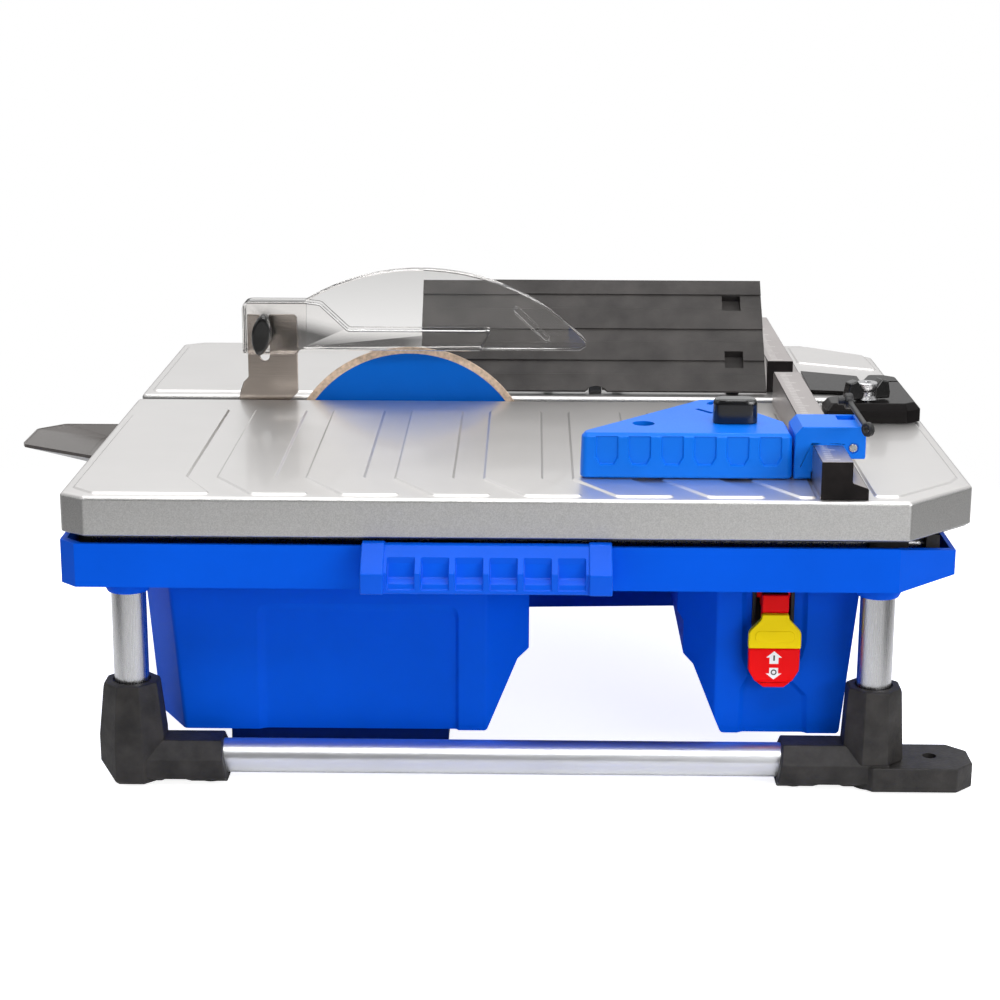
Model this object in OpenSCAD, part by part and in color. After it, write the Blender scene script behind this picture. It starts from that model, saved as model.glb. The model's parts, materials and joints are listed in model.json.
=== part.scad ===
// Cordless sliding-table wet tile saw.
// Millimetres, +Z up, floor at z = 0, the operator stands at -Y.
// Working places are measured from the table: x = 0 is the middle of the table's
// width, y = 0 is its front edge. place() moves them to the middle of the footprint.

/* [Table] */
// Width of the table, across the operator's view
table_w = 541; // [530:1:560]
// Depth of the table, front edge to back edge
table_d = 497; // [490:1:510]
// Height of the working surface above the floor
table_z = 187; // [186:1:190]
// Width of the slot that the blade stands in
slot_w = 14; // [12:0.5:15]
// Middle of the slot, measured from the front edge
slot_y = 284.5; // [280:0.5:288]
// Thickness of the table plates
plate_t = 3; // [2:0.5:4]
// Height of the turned-down skirt, top face included
skirt_h = 24.8; // [18:0.2:25]
// Thickness of the skirt
skirt_t = 2; // [1.5:0.5:3]

/* [Blade] */
// Outside diameter of the blade
blade_d = 177.8; // [160:0.2:178]
// Thickness of the blade's diamond rim
rim_t = 2.2; // [1.6:0.1:2.6]
// Width of the diamond rim
rim_w = 5; // [3:0.5:8]
// Arbor diameter at the blade
arbor_d = 15.8; // [15:0.1:16]
// Place of the arbor across the table
blade_x = -79; // [-90:1:-70]
// Height of the blade above the table
blade_up = 36; // [34:1:38]

/* [Pan and housings] */
// Height of the pan's rim above the floor
rim_z = 156.5; // [154:0.5:157]
// Height of the pan's underside above the floor
pan_z = 130; // [128:1:131]
// Wall of the moulded plastic parts
wall = 3; // [2.5:0.5:3.5]

/* [Frame] */
// Outside diameter of the frame tubes
tube_d = 21; // [19:0.5:22]
// Wall of the frame tubes
tube_wall = 1.5; // [1:0.5:2.5]
// Height of the cross tubes' centre
tube_z = 15; // [14:0.5:16]
// Diameter of the bolt holes in the right feet
bolt_d = 8.5; // [6.5:0.5:9]
// Distance between the two bolt holes, front to back
bolt_pitch = 433; // [430:1:436]

/* [Fence and guides] */
// Height of the fence bars above the table
fence_h = 21.6; // [20:0.2:22]
// Width of the fence bars, without their flange
fence_w = 18.4; // [17:0.2:19]
// Angle that the bevel ramp stands at
ramp_angle = 45; // [45:1:45]
// Length of the bevel ramp from its hinge to its top edge
ramp_len = 88; // [84:1:92]
// Length of the ramp's folding stay
stay_len = 44; // [40:1:45]

/* [Hidden] */

$fn = 48;

gap = 0.3;            // room between parts that pass each other
fit = 0.05;           // radial room of a running fit
seat = 0.02;          // radial room of a fixed seat

table_l = -table_w / 2;
table_r = table_w / 2;
skirt_z = table_z - skirt_h;
under_z = table_z - plate_t;
near_back = slot_y - slot_w / 2;
far_front = slot_y + slot_w / 2;
cut_small = [15, 10];      // corner cuts at the table's left end
cut_front = [43, 42];      // corner cut at the front right
cut_back = [50, 49];       // corner cut at the back right
raise = 0.8;               // height of the pressed pads and ribs
seat_z = table_z - raise;  // sheet between the pads, where the fences stand
rib_x0 = -182.5;           // first raised rib of the near table
rib_w = 35;
rib_pitch = 53.6;
rib_count = 7;
rib_lean = 25;             // how far each rib leans to the right at the front
rib_y = [7, 48, 241];      // front end, bend and back end of the ribs
pad_l = -264;
pad_r = 264;

blade_r = blade_d / 2;
arbor_r = arbor_d / 2;
arbor_z = table_z + blade_up - blade_r;

pan_l = -272;
pan_r = 263;
pan_front = 3;
pan_back = 494;
pan_floor = pan_z + 3.5;
pan_cut = 40;              // corner cut at the pan's right end
pan_nick = 10;             // corner cut at the pan's left end
well = [-184, 110, 262, 307];   // outside of the sump: left, right, front, back
well_z = 36;
well_rise = 5;             // how far the sump floor climbs towards the right
hump = [-118, -40, 200, 262];   // outside of the dry hood over the gears
hump_z = 173;

box_y = 49;                // front of both housings
box_z = 25;                // underside of both housings

leg_x = [-235.7, 215.3];
leg_y = [30, table_d - 30];
foot_z = 64;
pad_t = 2;
ear_x = 251.6;
ear_end = 276;
ear_y = [table_d / 2 - bolt_pitch / 2, table_d / 2 + bolt_pitch / 2];
ear_z = 17;

rod_y = [50, table_d - 50];
rod_z = 148;
rod_r = 5;
rod_x = [-262, 250];
bush_x = [-40, 222];
bush_l = 24;

motor_z = arbor_z - 36;    // the gears' centre distance is 36
gear_m = 1.5;
gear_teeth = 36;
pinion_teeth = 12;
gear_y = [226, 238];
motor_r = 30;
motor_y = [84, 200];

guard_t = 2;
guard_y = [slot_y - 9, slot_y + 9];
guard_l = -195.6;
guard_box_r = -152;
guard_top = 255.5;
guard_low = 221.5;
guard_box_low = 218.5;
guard_tip = [45.5, 226.5];
guard_apex = [-63, 277.7];
stud = [-181, 233.6];      // guard clamp bolt, x and z
slot_low = 215.5;          // lowest place of the clamp bolt in the bracket's slot

bar_x = 175;
bar_y = [4, 273];
far_bar_y = [313, table_d];
flange_x = 203;
bridge_t = 13;

head = [165, 206.7, 47.5, 84];   // guide head: left, right, front, back
head_z = table_z + 32.7;
pivot = [131, 80];         // guide block's swivel, x and y
block_z = table_z + 28;
lever_y = 103;
lever_z = table_z + 37;
lever_x = [201, 206];

ramp_x = [-73, 173.5];
hinge_y = 309;
hinge_z = table_z + 5;
hinge_r = 2;
ear_places = [-60, 52, 150];
ear_w = 9;
stay_x = [14, 74];
stay_y = hinge_y + stay_len;

lock = [232.6, 221];       // wing lock on the bridge, x and y

switch_x = 155.2;
paddle_y = 37;             // front face of the switch paddle
paddle_z = 114.5;          // height of the paddle's hinge
battery = [124, 190, 126, 240, 50, 108];

handle = [-92, 54, -22, 134, 160];    // left, right, front, underside, top
chute_tip = -347;

origin_x = (chute_tip + ear_end) / 2;
origin_y = (handle[2] + table_d) / 2;

// ---- helpers ----

module place() {
    translate([-origin_x, -origin_y, 0]) children();
}

module box(x, y, z) {
    translate([x[0], y[0], z[0]]) cube([x[1] - x[0], y[1] - y[0], z[1] - z[0]]);
}

module prism_xy(points, z) {
    translate([0, 0, z[0]]) linear_extrude(z[1] - z[0]) polygon(points);
}

module prism_xz(points, y) {
    translate([0, y[1], 0]) rotate([90, 0, 0]) linear_extrude(y[1] - y[0]) polygon(points);
}

module prism_yz(points, x) {
    translate([x[0], 0, 0]) rotate([90, 0, 90]) linear_extrude(x[1] - x[0]) polygon(points);
}

module rod_along_x(x, y, z, r) {
    translate([x[0], y, z]) rotate([0, 90, 0]) cylinder(h = x[1] - x[0], r = r);
}

module rod_along_y(x, y, z, r) {
    translate([x, y[1], z]) rotate([90, 0, 0]) cylinder(h = y[1] - y[0], r = r);
}

module rod_along_z(x, y, z, r) {
    translate([x, y, z[0]]) cylinder(h = z[1] - z[0], r = r);
}

// Outline with its four corners cut off: c is front-left, front-right, back-right, back-left
function cut_corners(x, y, c) = [
    [x[0] + c[0][0], y[0]], [x[1] - c[1][0], y[0]], [x[1], y[0] + c[1][1]],
    [x[1], y[1] - c[2][1]], [x[1] - c[2][0], y[1]], [x[0] + c[3][0], y[1]],
    [x[0], y[1] - c[3][1]], [x[0], y[0] + c[0][1]]];

// Circle through three points, as [centre x, centre z, radius]
function three_point(a, b, c) =
    let (d = 2 * (a[0] * (b[1] - c[1]) + b[0] * (c[1] - a[1]) + c[0] * (a[1] - b[1])),
        ux = ((a * a) * (b[1] - c[1]) + (b * b) * (c[1] - a[1]) + (c * c) * (a[1] - b[1])) / d,
        uz = ((a * a) * (c[0] - b[0]) + (b * b) * (a[0] - c[0]) + (c * c) * (b[0] - a[0])) / d)
    [ux, uz, norm(a - [ux, uz])];

// Straight-flanked gear outline, a little thin so that the pair runs with backlash
function gear_points(teeth, shift) =
    let (rp = teeth * gear_m / 2, step = 360 / teeth, top = rp + 1.1, foot = rp - 1.6)
    [for (i = [0 : teeth - 1])
        for (p = [[foot, -1.5], [rp - 0.2, -1.0], [top, -0.45], [top, 0.45], [rp - 0.2, 1.0], [foot, 1.5]])
            let (a = shift + i * step + p[1] / rp * 180 / PI)
            [p[0] * cos(a), p[0] * sin(a)]];

// ---- base ----

function pan_outline(inset) = cut_corners(
    [pan_l + inset, pan_r - inset], [pan_front + inset, pan_back - inset],
    [[pan_nick, pan_nick], [pan_cut - inset * 0.6, pan_cut - inset * 0.6],
        [pan_cut - inset * 0.6, pan_cut - inset * 0.6], [pan_nick, pan_nick]]);

function well_outline(inset) = [
    [well[0] + inset, pan_floor + 1], [well[0] + inset, well_z + inset],
    [well[1] - inset, well_z + well_rise + inset], [well[1] - inset, pan_floor + 1]];

module water_pan() {
    color("royalblue") place() difference() {
        union() {
            difference() {
                prism_xy(pan_outline(0), [pan_z, rim_z]);
                prism_xy(pan_outline(wall + 0.5), [pan_floor, rim_z + 1]);
            }
            intersection() {
                prism_xz(well_outline(0), [well[2], well[3]]);
                box([well[0], well[1]], [well[2], well[3]], [0, pan_floor]);
            }
            box([hump[0], hump[1]], [hump[2], hump[3] + wall], [pan_z, hump_z]);
            // collars that the legs plug into
            for (x = leg_x)
                for (y = leg_y) {
                    rod_along_z(x, y, [pan_z - 6, pan_floor - 1], 14);
                    translate([x, y, pan_z - 9]) cylinder(h = 3.01, r1 = 12.5, r2 = 14);
                }
        }
        for (x = leg_x)
            for (y = leg_y)
                rod_along_z(x, y, [pan_z - 10, pan_z], tube_d / 2 + seat);
        // the rim falls away towards the right end
        prism_xz([[222, rim_z + 1], [222, rim_z], [pan_r + 1, rim_z - 11.5], [pan_r + 1, rim_z + 1]],
            [pan_front - 1, pan_back + 1]);
        prism_xz(well_outline(wall), [well[2] + wall, well[3] - wall]);
        box([hump[0] + wall, hump[1] - wall], [hump[2] + wall, hump[3] + 0.01],
            [pan_z - 1, hump_z - wall]);
        rod_along_y(blade_x, [well[2] - 1, well[2] + wall + 1], arbor_z, 12);
        rod_along_x([well[0] - 1, well[0] + wall + 1], slot_y, 54, 8);
    }
}

// Side outline of the grip, drawn back by inset
function handle_side(inset) = [
    [pan_front, handle[4] - inset * 0.5], [-4, handle[4] - inset * 0.5], [handle[2] + inset, handle[3] + 12.5],
    [handle[2] + inset, handle[3]], [pan_front, handle[3]]];

module pan_handle() {
    windows = 6;
    end_w = 13.5;
    pitch = (handle[1] - handle[0] - 2 * end_w) / windows;
    color("royalblue") place() difference() {
        union() {
            prism_yz(handle_side(0), [handle[0], handle[0] + end_w]);
            prism_yz(handle_side(0), [handle[1] - end_w, handle[1]]);
            prism_yz(handle_side(2), [handle[0] + end_w, handle[1] - end_w]);
        }
        // finger windows in the front face, with the ribs left between them
        for (i = [0 : windows - 1])
            prism_yz([[handle[2] - 1, handle[3] + 2.4], [handle[2] + 4, handle[3] + 2.4],
                [handle[2] + 7, handle[3] + 6], [handle[2] + 10, handle[3] + 16], [handle[2] + 9, handle[3] + 25],
                [handle[2] - 1, handle[3] + 25]],
                [handle[0] + end_w + i * pitch + 1.6, handle[0] + end_w + (i + 1) * pitch - 1.6]);
        // finger room behind the grip, open underneath
        box([handle[0] + end_w, handle[1] - end_w], [handle[2] + 12.5, pan_front - 2.5],
            [handle[3] - 1, handle[4] - 4]);
    }
}

function motor_plan(inset) = [
    [-210 + inset, box_y + inset], [-20 - inset * 0.4, box_y + inset], [6 - inset, box_y + 26 + inset * 0.4],
    [6 - inset, 261.5], [-227 + inset, 261.5], [-227 + inset, box_y + 40]];

function motor_side(inset) = [
    [-228 + inset, pan_z + (inset > 0 ? 1 : 0)], [-206 + inset, box_z + inset],
    [-20 - inset * 0.6, box_z + inset], [-1 - inset, 66], [6.5 - inset, 71],
    [6.5 - inset, pan_z + (inset > 0 ? 1 : 0)]];

module motor_housing() {
    color("mediumblue") place() difference() {
        intersection() {
            prism_xy(motor_plan(0), [20, pan_z]);
            prism_xz(motor_side(0), [40, 262]);
        }
        intersection() {
            prism_xy(motor_plan(wall), [20, pan_z + 1]);
            prism_xz(motor_side(wall), [40, 262]);
        }
        // long shallow panel pressed into the front face
        prism_xz([[-158, box_z - 1], [-158, 98], [-152, 104], [-42, 104], [-36, 98], [-36, box_z - 1]],
            [box_y - 1, box_y + 1]);
        // open back, towards the sump
        box([-200, -10], [255, 263], [34, pan_z + 1]);
    }
}

module housing_base() {
    color("navy") place() difference() {
        box([-180, -44], [60, 250], [12, box_z]);
        box([-177, -47], [63, 247], [15, box_z + 1]);
        for (i = [0 : 9])
            box([-162, -62], [72 + i * 17.5, 78 + i * 17.5], [11, 16]);
    }
}

function switch_plan(inset) = [
    [121 + inset * 0.4, box_y + inset], [203 - inset, box_y + inset], [203 - inset, 200],
    [98 + inset, 200], [98 + inset, box_y + 25 + inset * 0.4]];

function switch_side(inset) = [
    [98 + inset, pan_z + (inset > 0 ? 1 : 0)], [98 + inset, 97], [102 + inset, 91], [102 + inset, 70],
    [108 + inset, 65], [125 + inset * 0.6, box_z + inset], [197 - inset, box_z + inset],
    [203 - inset, pan_z + (inset > 0 ? 1 : 0)]];

module switch_housing() {
    color("mediumblue") place() difference() {
        intersection() {
            prism_xy(switch_plan(0), [20, pan_z]);
            prism_xz(switch_side(0), [40, 201]);
        }
        intersection() {
            prism_xy(switch_plan(wall), [20, pan_z + 1]);
            prism_xz(switch_side(wall), [40, 201]);
        }
        // window for the switch
        box([switch_x - 13, switch_x + 13], [box_y - 1, box_y + 4], [80, 126]);
        // angular recess around the switch
        prism_xz([[switch_x - 22, 130], [switch_x - 22, 92], [switch_x - 13, 78], [switch_x - 13, 74],
            [switch_x - 22, 58], [switch_x - 22, box_z - 1], [switch_x + 24, box_z - 1], [switch_x + 24, 58],
            [switch_x + 15, 74], [switch_x + 15, 78], [switch_x + 24, 92], [switch_x + 24, 130]],
            [box_y - 1, box_y + 0.8]);
    }
}

module tube(h) {
    difference() {
        cylinder(h = h, r = tube_d / 2);
        translate([0, 0, -1]) cylinder(h = h + 2, r = tube_d / 2 - tube_wall);
    }
}

module leg_tubes() {
    color("silver") place()
        for (x = leg_x)
            for (y = leg_y)
                translate([x, y, 36]) tube(pan_z - 36 - 0.2);
}

module cross_tubes() {
    left = leg_x[0] + 22;
    color("silver") place()
        for (y = leg_y)
            translate([left, y, tube_z]) rotate([0, 90, 0]) tube(leg_x[1] - 22 - left);
}

// Foot with a tower for the leg and a sleeve for the cross tube, at the origin of its leg;
// side is +1 when the sleeve points to +X
module foot(side, reach) {
    sleeve = 20;
    difference() {
        union() {
            translate([0, 0, 30]) cylinder(h = foot_z - 30, r1 = 20, r2 = 16.5);
            prism_xy([[-20, -13], [-13, -20], [13, -20], [20, -13], [20, 13], [13, 20], [-13, 20], [-20, 13]],
                [pad_t, 31]);
            prism_yz([[-18, 7], [-11, pad_t], [11, pad_t], [18, 7], [18, 26], [9, 34], [-9, 34], [-18, 26]],
                side > 0 ? [0, reach] : [-reach, 0]);
        }
        translate([0, 0, 36 - 0.02]) cylinder(h = foot_z, r = tube_d / 2 + seat);
        rod_along_x(side > 0 ? [22 - 0.02, reach + 1] : [-reach - 1, -22 + 0.02], 0, tube_z, tube_d / 2 + seat);
        // arch under the sleeve, so that it stands on its pads only
        translate([side * (reach - 22), 0, pad_t - 1])
            prism_xy([[-9, -30], [9, -30], [9, 30], [-9, 30]], [0, 1.8]);
    }
}

module left_feet() {
    color("dimgray") place()
        for (y = leg_y)
            translate([leg_x[0], y, 0]) foot(1, 56);
}

module right_feet() {
    color("dimgray") place()
        for (i = [0, 1])
            difference() {
                union() {
                    translate([leg_x[1], leg_y[i], 0]) foot(-1, 56);
                    translate([0, ear_y[i], 0])
                        prism_xy([[leg_x[1] + 14, -19], [ear_end - 12, -19], [ear_end, -9], [ear_end, 9],
                            [ear_end - 12, 19], [leg_x[1] + 14, 19]], [pad_t, ear_z]);
                }
                rod_along_z(ear_x, ear_y[i], [0, ear_z + 1], bolt_d / 2);
            }
}

module foot_pads() {
    color("black") place()
        for (y = leg_y) {
            for (x = leg_x)
                rod_along_z(x, y, [0, pad_t], 12);
            for (x = [leg_x[0] + 47, leg_x[1] - 47])
                rod_along_z(x, y, [0, pad_t], 7);
        }
}

module slide_rods() {
    color("silver") place()
        for (y = rod_y)
            rod_along_x(rod_x, y, rod_z, rod_r);
}

module rod_brackets() {
    color("dimgray") place()
        for (y = rod_y)
            for (x = [[rod_x[0] - 4, rod_x[0] + 4], [rod_x[1] - 6, rod_x[1] + 2]])
                difference() {
                    box(x, [y - 12, y + 12], [pan_floor, rod_z + 8]);
                    rod_along_x([rod_x[0], rod_x[1]], y, rod_z, rod_r + seat);
                }
}

module splash_chute() {
    color([0.2, 0.2, 0.22, 0.9]) place() difference() {
        union() {
            prism_xy([[-262, 198], [-292, 214], [chute_tip + 2, 247], [chute_tip, 252], [chute_tip, 306],
                [chute_tip + 4, 313], [-262, 313]], [rim_z + 0.3, rim_z + 3]);
            box([-268.2, -264], [205, 308], [rim_z - 14, rim_z + 1]);
            prism_xy([[-276, 206], [-292, 214], [chute_tip + 2, 247], [chute_tip, 252], [chute_tip, 306],
                [chute_tip + 4, 313], [-276, 313]], [rim_z - 6, rim_z + 1]);
        }
        prism_xy([[-275, 209], [-290, 217], [chute_tip + 5, 250], [chute_tip + 3, 254], [chute_tip + 3, 304],
            [chute_tip + 6, 310], [-275, 310]], [rim_z - 7, rim_z + 0.3]);
    }
}

module guard_bracket() {
    color("silver") place() difference() {
        union() {
            prism_xz([[-193, 245], [-160, 245], [-158, 243], [-158, 190], [-172, 176], [-172, 160],
                [-188, 148], [-188, pan_floor], [-216, pan_floor], [-216, 158], [-200, 183],
                [-199, 190], [-196.5, 197], [-193, 200.4]], [slot_y - 1.25, slot_y + 1.25]);
            box([-216, -188], [slot_y + 1.25, slot_y + 22], [pan_floor, pan_floor + 2.5]);
        }
        // slot for the guard's clamp bolt, open at the top so that the guard lifts off
        rod_along_y(stud[0], [slot_y - 2, slot_y + 2], slot_low, 3.3);
        box([stud[0] - 3.3, stud[0] + 3.3], [slot_y - 2, slot_y + 2], [slot_low, 246]);
    }
}

module motor_can() {
    color("dimgray") place() difference() {
        rod_along_y(blade_x, motor_y, motor_z, motor_r);
        rod_along_y(blade_x, [motor_y[0] - 1, motor_y[1] - 4], motor_z, motor_r - 5);
        rod_along_y(blade_x, [motor_y[0], motor_y[1] + 1], motor_z, 4 + fit);
        for (a = [0 : 45 : 315])
            translate([blade_x + 17 * cos(a), 0, motor_z + 17 * sin(a)])
                rod_along_y(0, [motor_y[1] - 6, motor_y[1] + 1], 0, 3);
    }
}

module motor_end_bell() {
    color("black") place() difference() {
        union() {
            rod_along_y(blade_x, [motor_y[0] - 10, motor_y[0]], motor_z, motor_r);
            rod_along_y(blade_x, [motor_y[0] - 18, motor_y[0] - 9], motor_z, 12);
        }
        rod_along_y(blade_x, [motor_y[0] - 14, motor_y[0] + 1], motor_z, 4 + fit);
        rod_along_y(blade_x, [motor_y[0] - 6, motor_y[0] + 1], motor_z, motor_r - 5);
    }
}

module gear_case() {
    color("darkgray") place() difference() {
        box([blade_x - 34, blade_x + 34], [motor_y[1] + 4, 261], [78, hump_z - wall - 1]);
        box([blade_x - 31, blade_x + 31], [222, 248], [82, hump_z - wall - 4]);
        rod_along_y(blade_x, [200, 262], arbor_z, 16 + seat);
        rod_along_y(blade_x, [200, 242], motor_z, 4 + fit);
        rod_along_y(blade_x, [221, 249], motor_z, 14);
    }
}

module arbor_bearings() {
    color("silver") place()
        for (y = [[206, 218], [250, 260]])
            difference() {
                rod_along_y(blade_x, y, arbor_z, 16);
                rod_along_y(blade_x, [y[0] - 1, y[1] + 1], arbor_z, arbor_r + fit);
            }
}

module switch_frame() {
    color("black") place() difference() {
        box([switch_x - 12.7, switch_x + 12.7], [box_y + 1, 74], [80.3, 125.7]);
        box([switch_x - 10.5, switch_x + 10.5], [box_y, 66], [82.5, 124]);
    }
}

module switch_module() {
    color("black") place() box([switch_x - 12, switch_x + 12], [74, 98], [84, 120]);
}

module controller_board() {
    color("green") place() {
        box([112, 114], [88, 190], [84, 126]);
        for (i = [0 : 2])
            box([114.2, 119], [98 + i * 30, 116 + i * 30], [96, 118]);
    }
}

module terminal_block() {
    color("black") place() difference() {
        box([132, 182], [110, 124], [60, 100]);
        for (i = [0 : 2])
            box([140 + i * 14, 146 + i * 14], [114, 125], [66, 92]);
    }
}

module housing_screws() {
    color("silver") place() {
        // under the pan, through the floors of both housings
        for (p = [[-192, 70], [-34, 70], [-192, 240], [-34, 240], [136, 70], [186, 70], [186, 180], [136, 180]])
            rod_along_z(p[0], p[1], [box_z - 3, box_z], 3.5);
        // guard bracket's foot
        for (x = [-209, -196])
            rod_along_z(x, slot_y + 14, [pan_floor + 2.5, pan_floor + 5], 3.5);
    }
}

// ---- sliding table ----

module pad(outline) {
    prism_xy(outline, [under_z + 1, table_z]);
}

module table_shell(outline, inner) {
    difference() {
        prism_xy(outline, [skirt_z, seat_z]);
        prism_xy(inner, [skirt_z - 1, under_z]);
    }
}

module table_near() {
    color("silver") place() {
        difference() {
            table_shell(
                cut_corners([table_l, table_r], [0, near_back],
                    [cut_small, cut_front, [0.01, 0.01], [0.01, 0.01]]),
                cut_corners([table_l + skirt_t, table_r - skirt_t], [skirt_t, near_back - skirt_t],
                    [cut_small, cut_front - [1, 1], [0.01, 0.01], [0.01, 0.01]]));
            // the slot side has a short lip only
            box([table_l + skirt_t, table_r - skirt_t], [near_back - skirt_t - 1, near_back + 1],
                [skirt_z - 1, under_z - 6]);
        }
        pad([[pad_l + 13, rib_y[0]], [rib_x0 + rib_w - rib_pitch + rib_lean, rib_y[0]],
            [rib_x0 + rib_w - rib_pitch, rib_y[1]], [rib_x0 + rib_w - rib_pitch, rib_y[2]],
            [-244, rib_y[2] + 4], [pad_l, 220], [pad_l, 20]]);
        for (i = [0 : rib_count - 1])
            let (x = rib_x0 + i * rib_pitch)
                intersection() {
                    pad([[x + rib_lean, rib_y[0]], [x + rib_w + rib_lean, rib_y[0]], [x + rib_w, rib_y[1]],
                        [x + rib_w, rib_y[2]], [x, rib_y[2]], [x, rib_y[1]]]);
                    box([table_l, bar_x - 0.5], [0, near_back], [0, table_z + 1]);
                }
        pad([[flange_x + 5, rib_y[0] + 4], [222, rib_y[0] + 4], [258, 46], [pad_r, 58], [pad_r, near_back - 5],
            [flange_x + 5, near_back - 5]]);
    }
}

module table_far() {
    color("silver") place() {
        difference() {
            table_shell(
                cut_corners([table_l, table_r], [far_front, table_d],
                    [[0.01, 0.01], [0.01, 0.01], cut_back, cut_small]),
                cut_corners([table_l + skirt_t, table_r - skirt_t], [far_front + skirt_t, table_d - skirt_t],
                    [[0.01, 0.01], [0.01, 0.01], cut_back - [1, 1], cut_small]));
            box([table_l + skirt_t, table_r - skirt_t], [far_front - 1, far_front + skirt_t + 1],
                [skirt_z - 1, under_z - 6]);
        }
        pad([[pad_l, far_front + 11], [ramp_x[0] - 14, far_front + 11], [ramp_x[0] - 14, table_d - 12],
            [pad_l + 12, table_d - 12], [pad_l, table_d - 25]]);
        pad([[flange_x + 7, 422], [pad_r + 2, 394], [pad_r, 452], [225, 486], [flange_x + 7, 486]]);
        // seat of the bridge
        pad([[243, far_front + 5], [262, far_front + 5], [262, far_front + 17], [247, far_front + 17]]);
    }
}

module table_bridge() {
    color("black") place() difference() {
        union() {
            prism_xy([[flange_x + 1, 206], [258, 206], [268, 214], [268, 303], [258, 312], [244, 312],
                [228, 262], [216, 240], [flange_x + 1, 232]], [table_z, table_z + bridge_t - 3]);
            prism_xy([[flange_x + 5, 209], [257, 209], [265, 216], [265, 301], [257, 309], [246, 309],
                [231, 261], [218, 237], [flange_x + 5, 229]], [table_z + bridge_t - 3.01, table_z + bridge_t]);
        }
        // groove in line with the slot
        box([220, 269], [slot_y - 1.5, slot_y + 1.5], [table_z + bridge_t - 2, table_z + bridge_t + 1]);
        rod_along_z(lock[0], lock[1], [table_z - 1, table_z + bridge_t + 1], 4 + fit);
    }
}

module subframe_beams() {
    color("dimgray") place()
        for (y = rod_y)
            difference() {
                box([-250, 234], [y - 10, y + 10], [172, under_z]);
                box([-251, 226], [y - 7, y + 7], [171, under_z - 3]);
            }
}

module cross_beam() {
    color("dimgray") place() difference() {
        box([236, 258], [40, table_d - 52], [168, under_z]);
        box([239, 255], [39, table_d - 51], [167, under_z - 3]);
        // room for the lips along the slot
        box([235, 259], [near_back - skirt_t - gap, far_front + skirt_t + gap], [under_z - 6 - gap, under_z + 1]);
    }
}

module slide_bushings() {
    color("black") place()
        for (x = bush_x)
            for (y = rod_y)
                difference() {
                    box([x - bush_l / 2, x + bush_l / 2], [y - 10, y + 10], [rod_z - 9, 172]);
                    rod_along_x([x - bush_l, x + bush_l], y, rod_z, rod_r + fit);
                }
}

module splash_skirt() {
    color("black") place() difference() {
        prism_xy(cut_corners([table_l + 2.3, table_r - 2.3], [2.3, table_d - 2.3],
            [cut_small, cut_front - [1.2, 1.2], cut_back - [1.2, 1.2], cut_small]), [160.8, under_z]);
        prism_xy(cut_corners([table_l + 4.3, table_r - 4.3], [4.3, table_d - 4.3],
            [cut_small, cut_front - [2.2, 2.2], cut_back - [2.2, 2.2], cut_small]), [160, under_z + 1]);
        box([table_l, 0], [near_back - 4, far_front + 4], [160, under_z + 1]);
        box([0, table_r], [near_back - 4, far_front + 4], [under_z - 7, under_z + 1]);
    }
}

module fence_bar(y) {
    prism_xz([[bar_x, seat_z], [bar_x, table_z + fence_h - 1], [bar_x + 1, table_z + fence_h],
        [bar_x + fence_w - 1, table_z + fence_h], [bar_x + fence_w, table_z + fence_h - 1],
        [bar_x + fence_w, table_z + 9], [flange_x - 1, table_z + 6], [flange_x, table_z + 5],
        [flange_x, seat_z]], y);
}

module fence_near() {
    color("dimgray") place() difference() {
        fence_bar(bar_y);
        // long T-slot along the underside for the fixing screws
        box([bar_x + 6, bar_x + 12], [bar_y[0] + 8, bar_y[1] - 8], [seat_z - 1, table_z + 5]);
    }
}

module fence_far() {
    color("dimgray") place() difference() {
        fence_bar(far_bar_y);
        box([bar_x + 6, bar_x + 12], [far_bar_y[0] + 8, far_bar_y[1] - 8], [seat_z - 1, table_z + 5]);
    }
}

module fence_screws() {
    color("silver") place()
        for (y = [30, 140, 250, 340, 400, 440])
            rod_along_z(bar_x + 9, y, [seat_z, table_z + 4.5], 2.5);
}

module ramp_hinge_ears() {
    color("dimgray") place() {
        for (x = ear_places)
            difference() {
                prism_yz([[hinge_y - 4.5, seat_z], [hinge_y - 4.5, hinge_z + 2], [hinge_y - 2, hinge_z + 4],
                    [hinge_y + 2, hinge_z + 4], [hinge_y + 4.5, hinge_z + 2], [hinge_y + 4.5, seat_z]],
                    [x - ear_w / 2, x + ear_w / 2]);
                rod_along_x([x - ear_w, x + ear_w], hinge_y, hinge_z, hinge_r + seat);
            }
        for (x = [stay_x[0] - 5, stay_x[1] + 1])
            difference() {
                prism_yz([[stay_y - 3.5, seat_z], [stay_y - 3.5, hinge_z + 1], [stay_y - 2, hinge_z + 2.1],
                    [stay_y + 2, hinge_z + 2.1], [stay_y + 3.5, hinge_z + 1], [stay_y + 3.5, seat_z]],
                    [x, x + 4]);
                rod_along_x([x - 5, x + 9], stay_y, hinge_z, 1 + seat);
            }
    }
}

module ramp_hinge_rods() {
    color("silver") place() {
        rod_along_x([ramp_x[0] + 1, ramp_x[1] - 1], hinge_y, hinge_z, hinge_r);
        rod_along_x([stay_x[0] - 5, stay_x[1] + 5], stay_y, hinge_z, 1);
    }
}

// ---- blade and drive ----

module blade_core() {
    t = rim_t - 0.4;
    color("royalblue") place() difference() {
        rod_along_y(blade_x, [slot_y - t / 2, slot_y + t / 2], arbor_z, blade_r - rim_w);
        rod_along_y(blade_x, [slot_y - 2, slot_y + 2], arbor_z, arbor_r + seat);
    }
}

module blade_rim() {
    color("goldenrod") place() difference() {
        rod_along_y(blade_x, [slot_y - rim_t / 2, slot_y + rim_t / 2], arbor_z, blade_r);
        rod_along_y(blade_x, [slot_y - 2, slot_y + 2], arbor_z, blade_r - rim_w);
    }
}

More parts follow.
